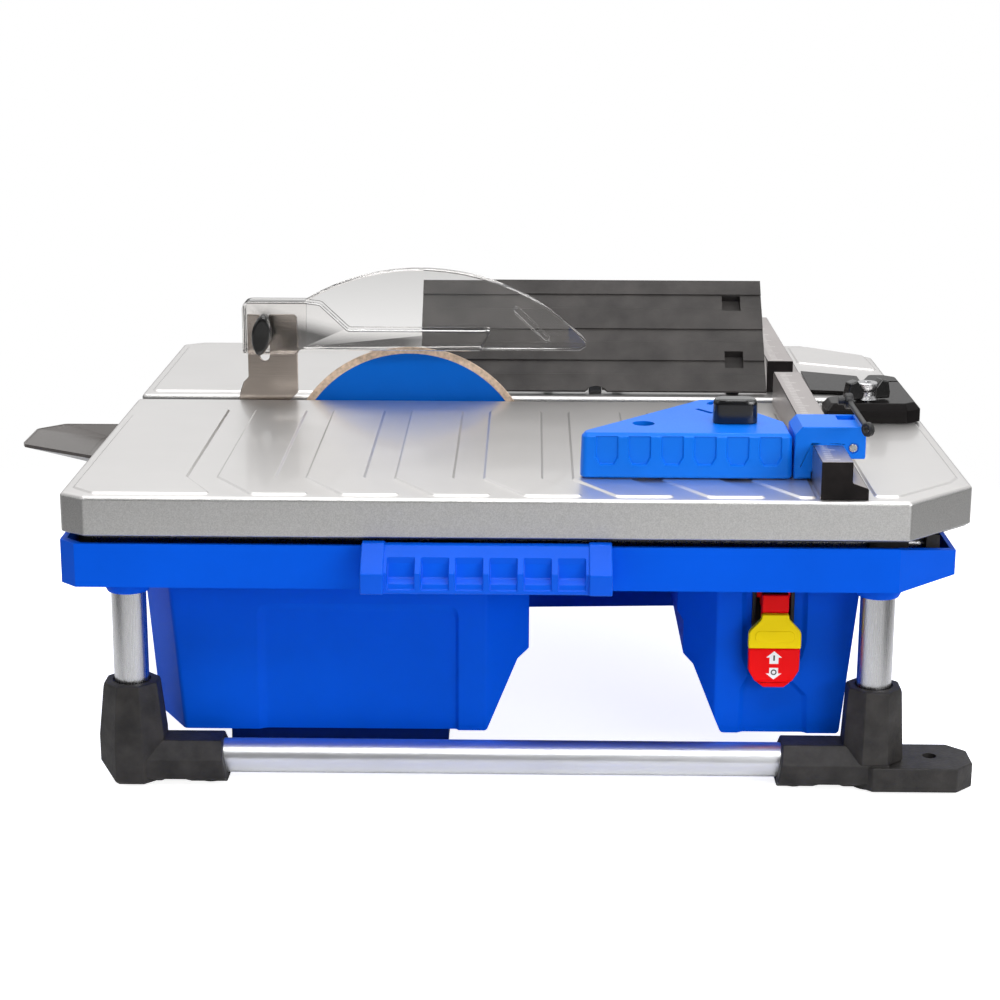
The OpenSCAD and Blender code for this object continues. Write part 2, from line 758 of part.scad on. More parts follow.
module arbor_shaft() {
    color("silver") place() rod_along_y(blade_x, [205, 300], arbor_z, arbor_r);
}

module blade_flanges() {
    t = rim_t - 0.4;
    color("gray") place()
        for (y = [[slot_y - t / 2 - 8, slot_y - t / 2], [slot_y + t / 2, slot_y + t / 2 + 5]])
            difference() {
                rod_along_y(blade_x, y, arbor_z, 22);
                rod_along_y(blade_x, [y[0] - 1, y[1] + 1], arbor_z, arbor_r + seat);
            }
}

module arbor_nut() {
    y0 = slot_y + (rim_t - 0.4) / 2 + 5;
    color("silver") place() difference() {
        translate([blade_x, y0 + 8, arbor_z]) rotate([90, 0, 0]) cylinder(h = 8, r = 13, $fn = 6);
        rod_along_y(blade_x, [y0 - 1, y0 + 9], arbor_z, arbor_r + seat);
    }
}

module driven_gear() {
    color("gray") place() difference() {
        translate([blade_x, gear_y[1], arbor_z]) rotate([90, 0, 0])
            linear_extrude(gear_y[1] - gear_y[0]) polygon(gear_points(gear_teeth, -90));
        rod_along_y(blade_x, [gear_y[0] - 1, gear_y[1] + 1], arbor_z, arbor_r + seat);
    }
}

module motor_rotor() {
    color("saddlebrown") place() {
        rod_along_y(blade_x, [motor_y[0] - 13, 243], motor_z, 4);
        rod_along_y(blade_x, [motor_y[0] + 6, motor_y[1] - 10], motor_z, motor_r - 7);
    }
}

module motor_pinion() {
    color("gray") place() difference() {
        translate([blade_x, gear_y[1], motor_z]) rotate([90, 0, 0])
            linear_extrude(gear_y[1] - gear_y[0]) polygon(gear_points(pinion_teeth, 90 + 180 / pinion_teeth));
        rod_along_y(blade_x, [gear_y[0] - 1, gear_y[1] + 1], motor_z, 4 + seat);
    }
}

// ---- guard ----

// Side outline of the guard, drawn in by inset along the top
function guard_outline(inset) =
    let (a = [guard_box_r, guard_top], c = three_point(a, guard_apex, guard_tip), r = c[2] - inset,
        a0 = atan2(a[1] - c[1], a[0] - c[0]), a1 = atan2(guard_tip[1] - c[1], guard_tip[0] - c[0]))
    concat(
        [[guard_l + inset, guard_box_low - (inset > 0 ? 1 : 0)]],
        [for (t = [180 : -18 : 90]) [guard_l + 6 + (6 - inset) * cos(t), guard_top - 6 + (6 - inset) * sin(t)]],
        [for (i = [0 : 24]) let (t = a0 + (a1 - a0) * i / 24) [c[0] + r * cos(t), c[1] + r * sin(t)]],
        inset > 0 ? [[guard_tip[0] - 3, guard_low - 1]] : [[guard_tip[0], guard_tip[1] - 3],
            [guard_tip[0] - 3, guard_low]],
        [[guard_l + 42, guard_low - (inset > 0 ? 1 : 0)], [guard_l + 38, guard_box_low - (inset > 0 ? 1 : 0)]]);

module guard_half(y) {
    difference() {
        prism_xz(guard_outline(0), y);
        prism_xz(guard_outline(guard_t), [y[0] < slot_y - 5 ? y[0] + guard_t : y[0] - 1,
            y[0] < slot_y - 5 ? y[1] + 1 : y[1] - guard_t]);
        rod_along_y(stud[0], [y[0] - 1, y[1] + 1], stud[1], 3 + seat);
    }
}

module guard_near() {
    color([0.9, 0.95, 1, 0.35]) place() guard_half([guard_y[0], slot_y]);
}

module guard_far() {
    color([0.9, 0.95, 1, 0.35]) place() guard_half([slot_y + 0.02, guard_y[1]]);
}

module guard_bolt() {
    color("silver") place() {
        rod_along_y(stud[0], [guard_y[0] - 8, guard_y[1] + 0.01], stud[1], 3);
        translate([stud[0], guard_y[1] + 4.5, stud[1]]) rotate([90, 0, 0]) cylinder(h = 4.5, r = 6, $fn = 6);
    }
}

module guard_knob() {
    color("black") place() difference() {
        union() {
            rod_along_y(stud[0], [guard_y[0] - 3.5, guard_y[0] - 0.2], stud[1], 7.5);
            translate([stud[0], guard_y[0] - 3.5, stud[1]]) rotate([90, 20, 0])
                linear_extrude(10) polygon([for (t = [0 : 10 : 350])
                    [6.5 * cos(t), 15 * sin(t) * (0.75 + 0.25 * abs(sin(t)))]]);
        }
        rod_along_y(stud[0], [guard_y[0] - 9, guard_y[0] + 1], stud[1], 3 + fit);
    }
}

// ---- guide on the fence ----

module guide_head() {
    bar_gap = 0.35;
    color("royalblue") place() difference() {
        union() {
            prism_xz([[head[0], table_z + 0.6], [head[0], head_z - 5], [head[0] + 4, head_z],
                [head[1] - 1, head_z], [head[1], head_z - 1], [head[1], table_z + 13],
                [bar_x + fence_w + bar_gap, table_z + 13], [bar_x + fence_w + bar_gap, table_z + fence_h + bar_gap],
                [bar_x - bar_gap, table_z + fence_h + bar_gap], [bar_x - bar_gap, table_z + 0.6]],
                [head[2], head[3]]);
            // lug that carries the clamp lever
            box([196.5, lever_x[0] - 0.3], [head[3] - 1, lever_y], [table_z + 22, lever_z]);
            rod_along_x([196.5, lever_x[0] - 0.3], lever_y, lever_z, 6);
            // clamp screw boss in front
            box([190, 195.5], [head[2] - 2, head[2] + 1], [table_z + 22, table_z + 27.5]);
        }
        // recess in the top for the clamp shoe
        box([192, 200], [head[3] - 14, head[3] - 4], [head_z - 5, head_z + 1]);
        rod_along_x([196, lever_x[0]], lever_y, lever_z, 2.5 + fit);
        // slot for the swivel arm
        box([head[0] - 1, head[0] + 7], [pivot[1] - 9.02, head[3] + 1], [table_z + 3.98, table_z + 8.02]);
    }
}

module guide_arm() {
    color("silver") place() difference() {
        union() {
            box([pivot[0], head[0] + 7], [pivot[1] - 9, head[3]], [table_z + 4, table_z + 8]);
            rod_along_z(pivot[0], pivot[1], [table_z + 4, table_z + 8], 9);
        }
        rod_along_z(pivot[0], pivot[1], [table_z, table_z + 12], 3 + fit);
    }
}

block_points = [[38, 47.5], [160, 47.5], [162.6, 50], [162.6, 84], [128, 150], [114, 150], [37, 56], [36, 52]];
block_inner = [[43, 51], [158, 51], [159, 52], [159, 82], [126, 145], [116, 145], [43, 56]];

module guide_block() {
    color("royalblue") place() difference() {
        prism_xy(block_points, [table_z + 0.6, block_z]);
        difference() {
            prism_xy(block_inner, [table_z, block_z - 3.5]);
            rod_along_z(pivot[0], pivot[1], [table_z + 8.6, block_z], 8);
        }
        // room for the arm through the right and back walls over the whole swing
        prism_xy([[pivot[0], pivot[1] - 9.6], [pivot[0] + 60, pivot[1] - 9.6], [pivot[0] + 60, pivot[1] + 70],
            [pivot[0] - 4, pivot[1] + 30]], [table_z, table_z + 8.6]);
        rod_along_z(pivot[0], pivot[1], [table_z, block_z + 1], 3 + fit);
        rod_along_z(75, 74, [block_z - 10, block_z + 1], 6);
        // six windows in the near face
        for (i = [0 : 5])
            let (x = 51.9 + i * 19.6)
                prism_xz([[x - 6.6, block_z - 1.8], [x + 6.6, block_z - 1.8], [x + 6.6, table_z + 13.5],
                    [x + 4.2, table_z + 8.3], [x - 4.2, table_z + 8.3], [x - 6.6, table_z + 13.5]], [46, 48.6]);
    }
}

module guide_knob() {
    color("black") place() {
        rod_along_z(pivot[0], pivot[1], [table_z + 2.5, block_z + 2], 3);
        rod_along_z(pivot[0], pivot[1], [block_z + gap, block_z + 3], 8);
        translate([pivot[0], pivot[1], block_z + 2]) linear_extrude(13)
            polygon([for (t = [0 : 10 : 350])
                [13.5 * sign(cos(t)) * pow(abs(cos(t)), 0.6), 6.5 * sign(sin(t)) * pow(abs(sin(t)), 0.75)]]);
    }
}

module clamp_lever() {
    x = (lever_x[0] + lever_x[1]) / 2;
    ring_y = 15;
    color("dimgray") place() difference() {
        union() {
            rod_along_x(lever_x, lever_y, lever_z, 7);
            rod_along_y(x, [ring_y + 5, lever_y], lever_z, 2.4);
            rod_along_x([x - 2.2, x + 2.2], ring_y, lever_z, 7);
            rod_along_x([196.7, lever_x[0] + 1], lever_y, lever_z, 2.5);
        }
        rod_along_x([x - 3, x + 3], ring_y, lever_z, 4);
    }
}

// ---- bevel ramp ----

module at_ramp() {
    translate([0, hinge_y, hinge_z]) rotate([ramp_angle, 0, 0]) children();
}

module bevel_ramp() {
    low = -4;
    skin = 2.5;
    top = 4.9;
    color("dimgray") place() at_ramp() difference() {
        union() {
            box(ramp_x, [0, ramp_len], [skin, top]);
            box(ramp_x, [ramp_len - 3, ramp_len], [low, top]);
            for (x = [[ramp_x[0], ramp_x[0] + 3], [ramp_x[1] - 3, ramp_x[1]]])
                box(x, [0, ramp_len], [low, top]);
            for (x = [-40, 0, 84, 130])
                box([x, x + 2.4], [6, ramp_len], [-1, top]);
            rod_along_x(ramp_x, 0, 0, 4.4);
            box(ramp_x, [0, 6], [0, skin + 1]);
        }
        rod_along_x([ramp_x[0] - 1, ramp_x[1] + 1], 0, 0, hinge_r + fit);
        // notches for the hinge ears
        for (x = ear_places)
            box([x - ear_w / 2 - gap, x + ear_w / 2 + gap], [-8, 8], [-8, 8]);
        // shallow lines across the face
        for (v = [5, 17, 34, 44.5, 75])
            box([ramp_x[0] - 1, ramp_x[1] + 1], [v, v + 1], [top - 0.7, top + 1]);
        // square windows near the right end
        for (v = [11.5, 61])
            box([145, 158.3], [v, v + 14], [skin - 1, top + 1]);
        // room for the folded stay in the wall along the upper edge
        box([stay_x[0] - 1, stay_x[1] + 1], [ramp_len - 4, ramp_len + 1], [low - 1, skin - 0.1]);
    }
}

module ramp_stay() {
    color("dimgray") place() difference() {
        union() {
            rod_along_x(stay_x, stay_y, hinge_z, 2.1);
            rod_along_x([stay_x[0] + 1, stay_x[1] - 1], stay_y, hinge_z + stay_len, 2);
            for (x = [[stay_x[0] + 1, stay_x[0] + 8], [stay_x[1] - 8, stay_x[1] - 1]])
                box(x, [stay_y - 1.8, stay_y + 1.8], [hinge_z, hinge_z + stay_len]);
        }
        rod_along_x([stay_x[0] - 1, stay_x[1] + 1], stay_y, hinge_z, 1 + fit);
    }
}

// ---- bridge lock, switch, battery, drain ----

module bridge_lock() {
    base = table_z + bridge_t + gap;
    color("black") place() {
        rod_along_z(lock[0], lock[1], [table_z + 1, base + 1], 4);
        rod_along_z(lock[0], lock[1], [base, base + 12], 7.5);
        translate([lock[0], lock[1], base]) rotate([0, 0, 20])
            for (s = [-1, 1])
                prism_xz([[s * 5, 1], [s * 16, 0.5], [s * 15, 12], [s * 9, 14], [s * 5, 8]], [-4, 4]);
    }
}

module switch_paddle() {
    y = paddle_y;
    z = paddle_z;
    color("red") place() difference() {
        union() {
            prism_xz([[switch_x - 16, z - 31], [switch_x - 16, z - 47], [switch_x - 13, z - 53],
                [switch_x - 8, z - 55.5], [switch_x + 8, z - 55.5], [switch_x + 13, z - 53],
                [switch_x + 16, z - 47], [switch_x + 16, z - 31]], [y, y + 5]);
            box([switch_x - 8, switch_x + 8], [y + 4, y + 10], [z - 32, z + 3]);
            box([switch_x - 8, switch_x + 8], [y + 1, y + 10], [z - 8.5, z + 3]);
            box([switch_x - 8, switch_x + 8], [y + 9, y + 17], [z - 7, z + 3]);
            rod_along_x([switch_x - 10.2, switch_x + 10.2], y + 17, z, 3);
        }
        // pocket for the key
        box([switch_x - 5, switch_x + 5], [y + 3, y + 11], [z - 29, z - 11]);
    }
}

module safety_key() {
    y = paddle_y;
    z = paddle_z;
    color("yellow") place() {
        prism_xz([[switch_x - 16, z - 30.7], [switch_x + 16, z - 30.7], [switch_x + 16, z - 21],
            [switch_x + 9, z - 12], [switch_x + 8, z - 8.8], [switch_x - 8, z - 8.8],
            [switch_x - 9, z - 12], [switch_x - 16, z - 21]], [y - 1, y + 3.7]);
        box([switch_x - 4.6, switch_x + 4.6], [y + 3.6, y + 10.5], [z - 28, z - 12]);
    }
}

module battery_pack() {
    color("black") place() difference() {
        union() {
            box([battery[0], battery[1]], [battery[2] + 8, battery[3]], [battery[4], battery[5]]);
            box([battery[0] + 8, battery[1] - 8], [battery[2], battery[2] + 9], [battery[4] + 6, battery[5] - 8]);
        }
        box([battery[0] + 20, battery[1] - 20], [battery[3] - 8, battery[3] + 1], [battery[5] - 14, battery[5] + 1]);
    }
}

module battery_latch() {
    x = [battery[0] + 20.4, battery[1] - 20.4];
    color("gray") place() difference() {
        box(x, [battery[3] - 7.6, battery[3] - 0.4], [battery[5] - 9.5, battery[5] - 1]);
        for (i = [0 : 3])
            box([x[0] + 3, x[1] - 3], [battery[3] - 7 + i * 1.7, battery[3] - 6.2 + i * 1.7],
                [battery[5] - 1.6, battery[5]]);
    }
}

module drain_plug() {
    color("black") place() {
        rod_along_x([well[0] - 8, well[0] - 0.2], slot_y, 54, 12);
        rod_along_x([well[0] - 1, well[0] + wall + 2], slot_y, 54, 8 - fit);
    }
}

water_pan();
pan_handle();
motor_housing();
housing_base();
switch_housing();
leg_tubes();
cross_tubes();
left_feet();
right_feet();
foot_pads();
slide_rods();
rod_brackets();
splash_chute();
guard_bracket();
motor_can();
motor_end_bell();
gear_case();
arbor_bearings();
switch_frame();
switch_module();
controller_board();
terminal_block();
housing_screws();
table_near();
table_far();
table_bridge();
subframe_beams();
cross_beam();
slide_bushings();
splash_skirt();
fence_near();
fence_far();
fence_screws();
ramp_hinge_ears();
ramp_hinge_rods();
blade_core();
blade_rim();
arbor_shaft();
blade_flanges();
arbor_nut();
driven_gear();
motor_rotor();
motor_pinion();
guard_near();
guard_far();
guard_bolt();
guard_knob();
guide_head();
guide_arm();
guide_block();
guide_knob();
clamp_lever();
bevel_ramp();
ramp_stay();
bridge_lock();
switch_paddle();
safety_key();
battery_pack();
battery_latch();
drain_plug();
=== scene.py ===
import json
import math

import bmesh
import bpy
from mathutils import Matrix, Vector

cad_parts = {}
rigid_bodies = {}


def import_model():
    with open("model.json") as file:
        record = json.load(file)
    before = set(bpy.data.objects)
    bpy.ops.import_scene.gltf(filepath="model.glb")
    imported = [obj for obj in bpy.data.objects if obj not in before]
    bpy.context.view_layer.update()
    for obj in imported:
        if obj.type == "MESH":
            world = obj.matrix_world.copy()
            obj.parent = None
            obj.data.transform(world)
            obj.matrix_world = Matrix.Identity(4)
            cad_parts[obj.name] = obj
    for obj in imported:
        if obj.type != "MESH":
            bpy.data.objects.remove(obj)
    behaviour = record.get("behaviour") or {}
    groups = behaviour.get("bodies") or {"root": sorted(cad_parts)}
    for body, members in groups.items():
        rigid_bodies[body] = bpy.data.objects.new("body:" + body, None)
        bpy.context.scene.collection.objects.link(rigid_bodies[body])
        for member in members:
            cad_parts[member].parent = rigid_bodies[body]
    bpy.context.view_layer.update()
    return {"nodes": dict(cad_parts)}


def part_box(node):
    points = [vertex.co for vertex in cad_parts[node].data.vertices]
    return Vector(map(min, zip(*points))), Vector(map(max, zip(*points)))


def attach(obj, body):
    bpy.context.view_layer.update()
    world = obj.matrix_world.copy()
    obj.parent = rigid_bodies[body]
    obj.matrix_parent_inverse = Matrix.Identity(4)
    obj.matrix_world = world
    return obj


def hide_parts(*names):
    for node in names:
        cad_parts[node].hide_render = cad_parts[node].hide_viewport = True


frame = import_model()

MM = 0.001
near_low, near_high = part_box("table_near")
ZERO = Vector(((near_low.x + near_high.x) / 2, near_low.y, 0))


def at(x, y, z):
    return ZERO + Vector((x, y, z)) * MM


# ---- outlines, in millimetres, their points running anticlockwise ----

def inset(points, distance):
    """Outline moved inwards all round."""
    moved = []
    for i, point in enumerate(points):
        here = Vector(point)
        back = (here - Vector(points[i - 1])).normalized()
        ahead = (Vector(points[(i + 1) % len(points)]) - here).normalized()
        inward = Vector((-back.y - ahead.y, back.x + ahead.x))
        moved.append(here + inward * distance / (1 + back.dot(ahead)))
    return moved


def rounded(points, radius, steps=5):
    """Outline with its corners turned into curves; radius is one number, or one for each corner."""
    curved = []
    for i, point in enumerate(points):
        here = Vector(point)
        back = Vector(points[i - 1]) - here
        ahead = Vector(points[(i + 1) % len(points)]) - here
        reach = (radius[i] if isinstance(radius, (list, tuple)) else radius)
        reach /= math.tan(back.angle(ahead) / 2)
        reach = max(0.02, min(reach, 0.48 * back.length, 0.48 * ahead.length))
        start, end = here + back.normalized() * reach, here + ahead.normalized() * reach
        for step in range(steps + 1):
            t = step / steps
            curved.append((1 - t) ** 2 * start + 2 * t * (1 - t) * here + t * t * end)
    return curved


def rectangle(x, y):
    return [(x[0], y[0]), (x[1], y[0]), (x[1], y[1]), (x[0], y[1])]


def circle(centre, radius, steps=48):
    angles = [2 * math.pi * i / steps for i in range(steps)]
    return [Vector((centre[0] + radius * math.cos(a), centre[1] + radius * math.sin(a)))
            for a in angles]


# ---- solids, as a list of points and a list of faces ----

def on_axis(axis, point, height):
    """Place of an outline's point at a height along an axis."""
    a, b = point
    return {"x": (height, a, b), "y": (a, height, b), "z": (a, b, height)}[axis]


def loft(rings, ring_shaped=False):
    """Skin through rings of places with equal counts; the two ends are capped, or meet."""
    count, total = len(rings[0]), len(rings) * len(rings[0])
    points = [tuple(place) for ring in rings for place in ring]
    faces = [] if ring_shaped else [list(range(count)), list(range(total - count, total))]
    for low in range(0, total if ring_shaped else total - count, count):
        high = (low + count) % total
        for i in range(count):
            j = (i + 1) % count
            faces.append([low + i, low + j, high + j, high + i])
    return points, faces


def prism(points, low, high, axis="z", edge=0.0, ends=(1, 1), steps=3):
    """Outline drawn out along an axis, with the rims of its chosen ends rounded over edge."""
    turns = [math.pi / 2 * i / steps for i in range(steps + 1)]
    profile = [(1 - math.sin(a), low + edge * (1 - math.cos(a))) for a in turns] if ends[0] else [(0, low)]
    profile += [(1 - math.sin(a), high - edge * (1 - math.cos(a))) for a in turns[::-1]] if ends[1] \
        else [(0, high)]
    if not edge:
        profile = [(0, low), (0, high)]
    return loft([[on_axis(axis, p, height) for p in inset(points, edge * part)] for part, height in profile])


def block(x, y, z, edge=0.4, corner=0.4):
    return prism(rounded(rectangle(x, y), max(corner, edge * 1.05), 3), z[0], z[1], "z", edge)


def turned(profile, centre, axis="z", steps=64, ring_shaped=False):
    """Lathe shape from (radius, height) pairs along an axis through centre."""
    return loft([[on_axis(axis, p, height) for p in circle(centre, radius, steps)]
                 for radius, height in profile], ring_shaped)


def rod(centre, low, high, radius, axis="z", edge=0.0, steps=48):
    return prism(circle(centre, radius, steps), low, high, axis, edge)


def swept(path, radius, steps=16):
    """Round bar along a path of places."""
    rings = []
    for i, place in enumerate(path):
        here = Vector(place)
        ahead = Vector(path[min(i + 1, len(path) - 1)]) - Vector(path[max(i - 1, 0)])
        turn = ahead.to_track_quat("Z", "Y").to_matrix()
        rings.append([here + turn @ Vector((*p, 0)) for p in circle((0, 0), radius, steps)])
    return loft(rings)


def moved(solid, change):
    """Solid with every point passed through a change."""
    return [tuple(change(Vector(p))) for p in solid[0]], solid[1]


def mirrored(solid, y):
    """Solid mirrored front to back about the plane at y."""
    return moved(solid, lambda p: Vector((p.x, 2 * y - p.y, p.z)))


def shifted(solid, x=0.0, y=0.0, z=0.0):
    return moved(solid, lambda p: p + Vector((x, y, z)))


def mesh_of(solid):
    mesh = bpy.data.meshes.new("solid")
    mesh.from_pydata(solid[0], [], solid[1])
    grown = bmesh.new()
    grown.from_mesh(mesh)
    bmesh.ops.remove_doubles(grown, verts=grown.verts, dist=0.001)
    bmesh.ops.recalc_face_normals(grown, faces=grown.faces)
    grown.to_mesh(mesh)
    grown.free()
    return mesh


def combine(parts, cuts=(), keep=()):
    """One solid: the parts together, what they share with keep, less the cuts."""
    scene = bpy.context.scene
    groups = [bpy.data.collections.new("solids") for _ in range(3)]
    main = bpy.data.objects.new("solid", mesh_of(parts[0]))
    scene.collection.objects.link(main)
    for group, solids, operation in zip(groups, (parts[1:], keep, cuts),
                                        ("UNION", "INTERSECT", "DIFFERENCE")):
        scene.collection.children.link(group)
        for solid in solids:
            group.objects.link(bpy.data.objects.new("solid", mesh_of(solid)))
        if solids:
            change = main.modifiers.new(operation, "BOOLEAN")
            change.operation = operation
            change.operand_type = "COLLECTION"
            change.collection = group
            change.solver = "EXACT"
    result = main.evaluated_get(bpy.context.evaluated_depsgraph_get()).to_mesh()
    points = [tuple(v.co) for v in result.vertices]
    faces = [list(polygon.vertices) for polygon in result.polygons]
    for group in groups:
        for solid in list(group.objects):
            bpy.data.objects.remove(solid)
        bpy.data.collections.remove(group)
    bpy.data.objects.remove(main)
    return points, faces


# ---- pieces ----

def soften(piece, width, angle=35):
    """Rounds a piece's sharp edges, and leaves its flat faces flat in the light."""
    weld = piece.modifiers.new("weld", "WELD")
    weld.merge_threshold = 0.005 * MM
    if width:
        rounding = piece.modifiers.new("rounding", "BEVEL")
        rounding.width = width * MM
        rounding.segments = 3
        rounding.angle_limit = math.radians(angle)
        rounding.use_clamp_overlap = True
        rounding.harden_normals = True
    flat = piece.modifiers.new("flat", "WEIGHTED_NORMAL")
    flat.weight = 50
    flat.keep_sharp = True


def piece(name, body, slot, layers, stands_for=(), width=0.4, angle=35):
    """A visible piece; layers are pairs of a material and its list of solids."""
    mesh = bpy.data.meshes.new(name)
    built = bmesh.new()
    for index, (material, solids) in enumerate(layers):
        mesh.materials.append(material)
        for points, faces in solids:
            part = mesh_of((points, faces))
            first = len(built.faces)
            built.from_mesh(part)
            built.faces.ensure_lookup_table()
            for face in built.faces[first:]:
                face.material_index = index
                face.smooth = True
    for vertex in built.verts:
        vertex.co = at(*vertex.co)
    built.to_mesh(mesh)
    built.free()
    thing = bpy.data.objects.new(name, mesh)
    bpy.context.scene.collection.objects.link(thing)
    mesh.set_sharp_from_angle(angle=math.radians(angle))
    soften(thing, width, angle)
    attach(thing, body)
    if stands_for:
        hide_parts(*stands_for)
    return thing


# ---- materials ----

def colour_ramp(tree, value, stops):
    """Colours along a value of 0 to 1, from (position, colour) pairs."""
    node = tree.nodes.new("ShaderNodeValToRGB")
    while len(node.color_ramp.elements) < len(stops):
        node.color_ramp.elements.new(0.5)
    for element, (position, colour) in zip(node.color_ramp.elements, stops):
        element.position = position
        element.color = (*colour, 1)
    tree.links.new(value, node.inputs["Fac"])
    return node.outputs["Color"]


class Nodes:
    """Short names for building one node material."""

    def __init__(self, name):
        self.material = bpy.data.materials.new(name)
        self.material.use_nodes = True
        self.tree = self.material.node_tree
        self.shader = self.tree.nodes["Principled BSDF"]
        self.place = self.tree.nodes.new("ShaderNodeTexCoord").outputs["Object"]

    def link(self, a, b):
        self.tree.links.new(a, b)

    def stretched(self, scale):
        node = self.tree.nodes.new("ShaderNodeMapping")
        node.inputs["Scale"].default_value = scale
        self.link(self.place, node.inputs["Vector"])
        return node.outputs["Vector"]

    def noise(self, scale, detail=3.0, stretch=None):
        node = self.tree.nodes.new("ShaderNodeTexNoise")
        node.inputs["Scale"].default_value = scale
        node.inputs["Detail"].default_value = detail
        self.link(self.stretched(stretch) if stretch else self.place, node.inputs["Vector"])
        return node.outputs["Fac"]

    def ramp(self, value, stops):
        return colour_ramp(self.tree, value, stops)

    def between(self, value, low, high):
        node = self.tree.nodes.new("ShaderNodeMapRange")
        node.inputs["To Min"].default_value = low
        node.inputs["To Max"].default_value = high
        self.link(value, node.inputs["Value"])
        return node.outputs["Result"]

    def bump(self, value, height):
        node = self.tree.nodes.new("ShaderNodeBump")
        node.inputs["Distance"].default_value = height * MM
        self.link(value, node.inputs["Height"])
        return node.outputs["Normal"]


def surface(name, colour, rough, metal=0.0, spread=0.06, grain=900, grain_height=0.04,
            brushed=None, coat=0.0, coat_rough=0.12, shade=0.06, mottle=14, specular=0.5):
    """A solid finish: slightly uneven colour and roughness, and a grain in its bump."""
    n = Nodes(name)
    n.shader.inputs["Metallic"].default_value = metal
    n.shader.inputs["Coat Weight"].default_value = coat
    n.shader.inputs["Coat Roughness"].default_value = coat_rough
    n.shader.inputs["Specular IOR Level"].default_value = specular
    dark = tuple(c * (1 - shade) for c in colour)
    light = tuple(min(1, c * (1 + shade)) for c in colour)
    n.link(n.ramp(n.noise(mottle, 4), [(0.3, dark), (0.7, light)]), n.shader.inputs["Base Color"])
    fine = n.noise(grain, 2, brushed)
    n.link(n.between(fine, rough - spread, rough + spread), n.shader.inputs["Roughness"])
    n.link(n.bump(fine, grain_height), n.shader.inputs["Normal"])
    return n.material


def clear(name, colour, rough, ior=1.45):
    n = Nodes(name)
    n.shader.inputs["Base Color"].default_value = (*colour, 1)
    n.shader.inputs["Transmission Weight"].default_value = 1
    n.shader.inputs["IOR"].default_value = ior
    n.link(n.between(n.noise(300, 2), rough, rough + 0.03), n.shader.inputs["Roughness"])
    return n.material


ALONG_X = (0.02, 1, 1)
ALONG_Y = (1, 0.02, 1)
ALONG_Z = (1, 1, 0.02)

pan_blue = surface("pan_blue", (0.0005, 0.095, 0.72), 0.45, specular=0.05, grain=1400)
grip_blue = surface("grip_blue", (0.0005, 0.10, 0.74), 0.32, specular=0.16, grain=1400)
housing_blue = surface("housing_blue", (0.0005, 0.10, 0.74), 0.5, specular=0.05, grain=1400)
base_blue = surface("base_blue", (0.001, 0.02, 0.17), 0.5, specular=0.1)
guide_blue = surface("guide_blue", (0.0005, 0.165, 0.80), 0.36, specular=0.22)
black_moulded = surface("black_moulded", (0.020, 0.018, 0.017), 0.55, grain=500, grain_height=0.16,
                        shade=0.55, mottle=90, specular=0.4)
black_gloss = surface("black_gloss", (0.006, 0.006, 0.006), 0.2, grain_height=0.02, coat=0.4)
table_steel = surface("table_steel", (0.70, 0.685, 0.675), 0.40, metal=1, spread=0.04, grain=1500, coat=0.35,
                      coat_rough=0.07, grain_height=0.008, brushed=ALONG_X, shade=0.02)
skirt_steel = surface("skirt_steel", (0.60, 0.595, 0.585), 0.40, metal=1, grain=2200, grain_height=0.08,
                      shade=0.13, mottle=1400)
bracket_steel = surface("bracket_steel", (0.50, 0.44, 0.39), 0.22, metal=1, grain=1500, brushed=ALONG_X)
steel = surface("steel", (0.55, 0.55, 0.56), 0.28, metal=1)
tube_satin = surface("tube_satin", (0.80, 0.81, 0.83), 0.36, metal=1, grain=1500, brushed=ALONG_X)
# Copy of the cross tubes' satin aluminium, brushed along the legs, with its colour darkened from 0.80 to 0.50:
# painted shade for the darker surroundings that the upright tubes reflect.
leg_satin_painted_shade = surface("leg_satin_painted_shade", (0.50, 0.50, 0.51), 0.27, metal=1, grain=1500, grain_height=0.012,
                    brushed=ALONG_Z)
fence_grey = surface("fence_grey", (0.52, 0.48, 0.47), 0.33, metal=1, grain=1500, brushed=ALONG_Y)
fence_dark = surface("fence_dark", (0.012, 0.010, 0.010), 0.35, grain=900, shade=0.5, mottle=60,
                     specular=0.12)
ink_white = surface("ink_white", (0.90, 0.90, 0.90), 0.5)
ruler_grey = surface("ruler_grey", (0.88, 0.86, 0.84), 0.5)
frame_black = surface("frame_black", (0.014, 0.014, 0.015), 0.4, grain=600)
ramp_black = surface("ramp_black", (0.046, 0.042, 0.040), 0.6, grain=700, grain_height=0.10, shade=0.3,
                     mottle=45, specular=0.3)
bridge_black = surface("bridge_black", (0.006, 0.005, 0.005), 0.3, grain=600, grain_height=0.03, coat=0.12,
                       coat_rough=0.12, specular=0.08)
cast_grey = surface("cast_grey", (0.45, 0.45, 0.46), 0.5, metal=1, grain=500, grain_height=0.1)
blade_blue = surface("blade_blue", (0.001, 0.105, 0.50), 0.4, specular=0.08, grain=1600)
rim_bronze = surface("rim_bronze", (0.60, 0.45, 0.33), 0.5, grain=2200, grain_height=0.2, shade=0.25,
                     mottle=400)
rubber_black = surface("rubber_black", (0.015, 0.015, 0.015), 0.75)
red_gloss = surface("red_gloss", (0.86, 0.001, 0.003), 0.35, specular=0.12)
yellow_gloss = surface("yellow_gloss", (1.0, 0.72, 0.001), 0.4, specular=0.12)
winding_copper = surface("winding_copper", (0.55, 0.27, 0.12), 0.35, metal=1, grain=1500, brushed=ALONG_Y)
board_green = surface("board_green", (0.01, 0.2, 0.07), 0.4)
smoky = surface("smoky", (0.10, 0.09, 0.084), 0.3, grain_height=0.02, specular=0.35)
guard_clear = clear("guard_clear", (0.97, 0.96, 0.95), 0.015)


# ---- sliding table ----

SHEET_Z = 185.9
TOP_Z = 187
UNDER_Z = 184
SKIRT_Z = 162.2
LIP_Z = 178
SLOT_FRONT, SLOT_BACK = 277.5, 291.5
SKIRT_THICK = 2
RIM_ROLL, RIM_CORNER, PAD_CORNER = 2.5, 4.0, 4
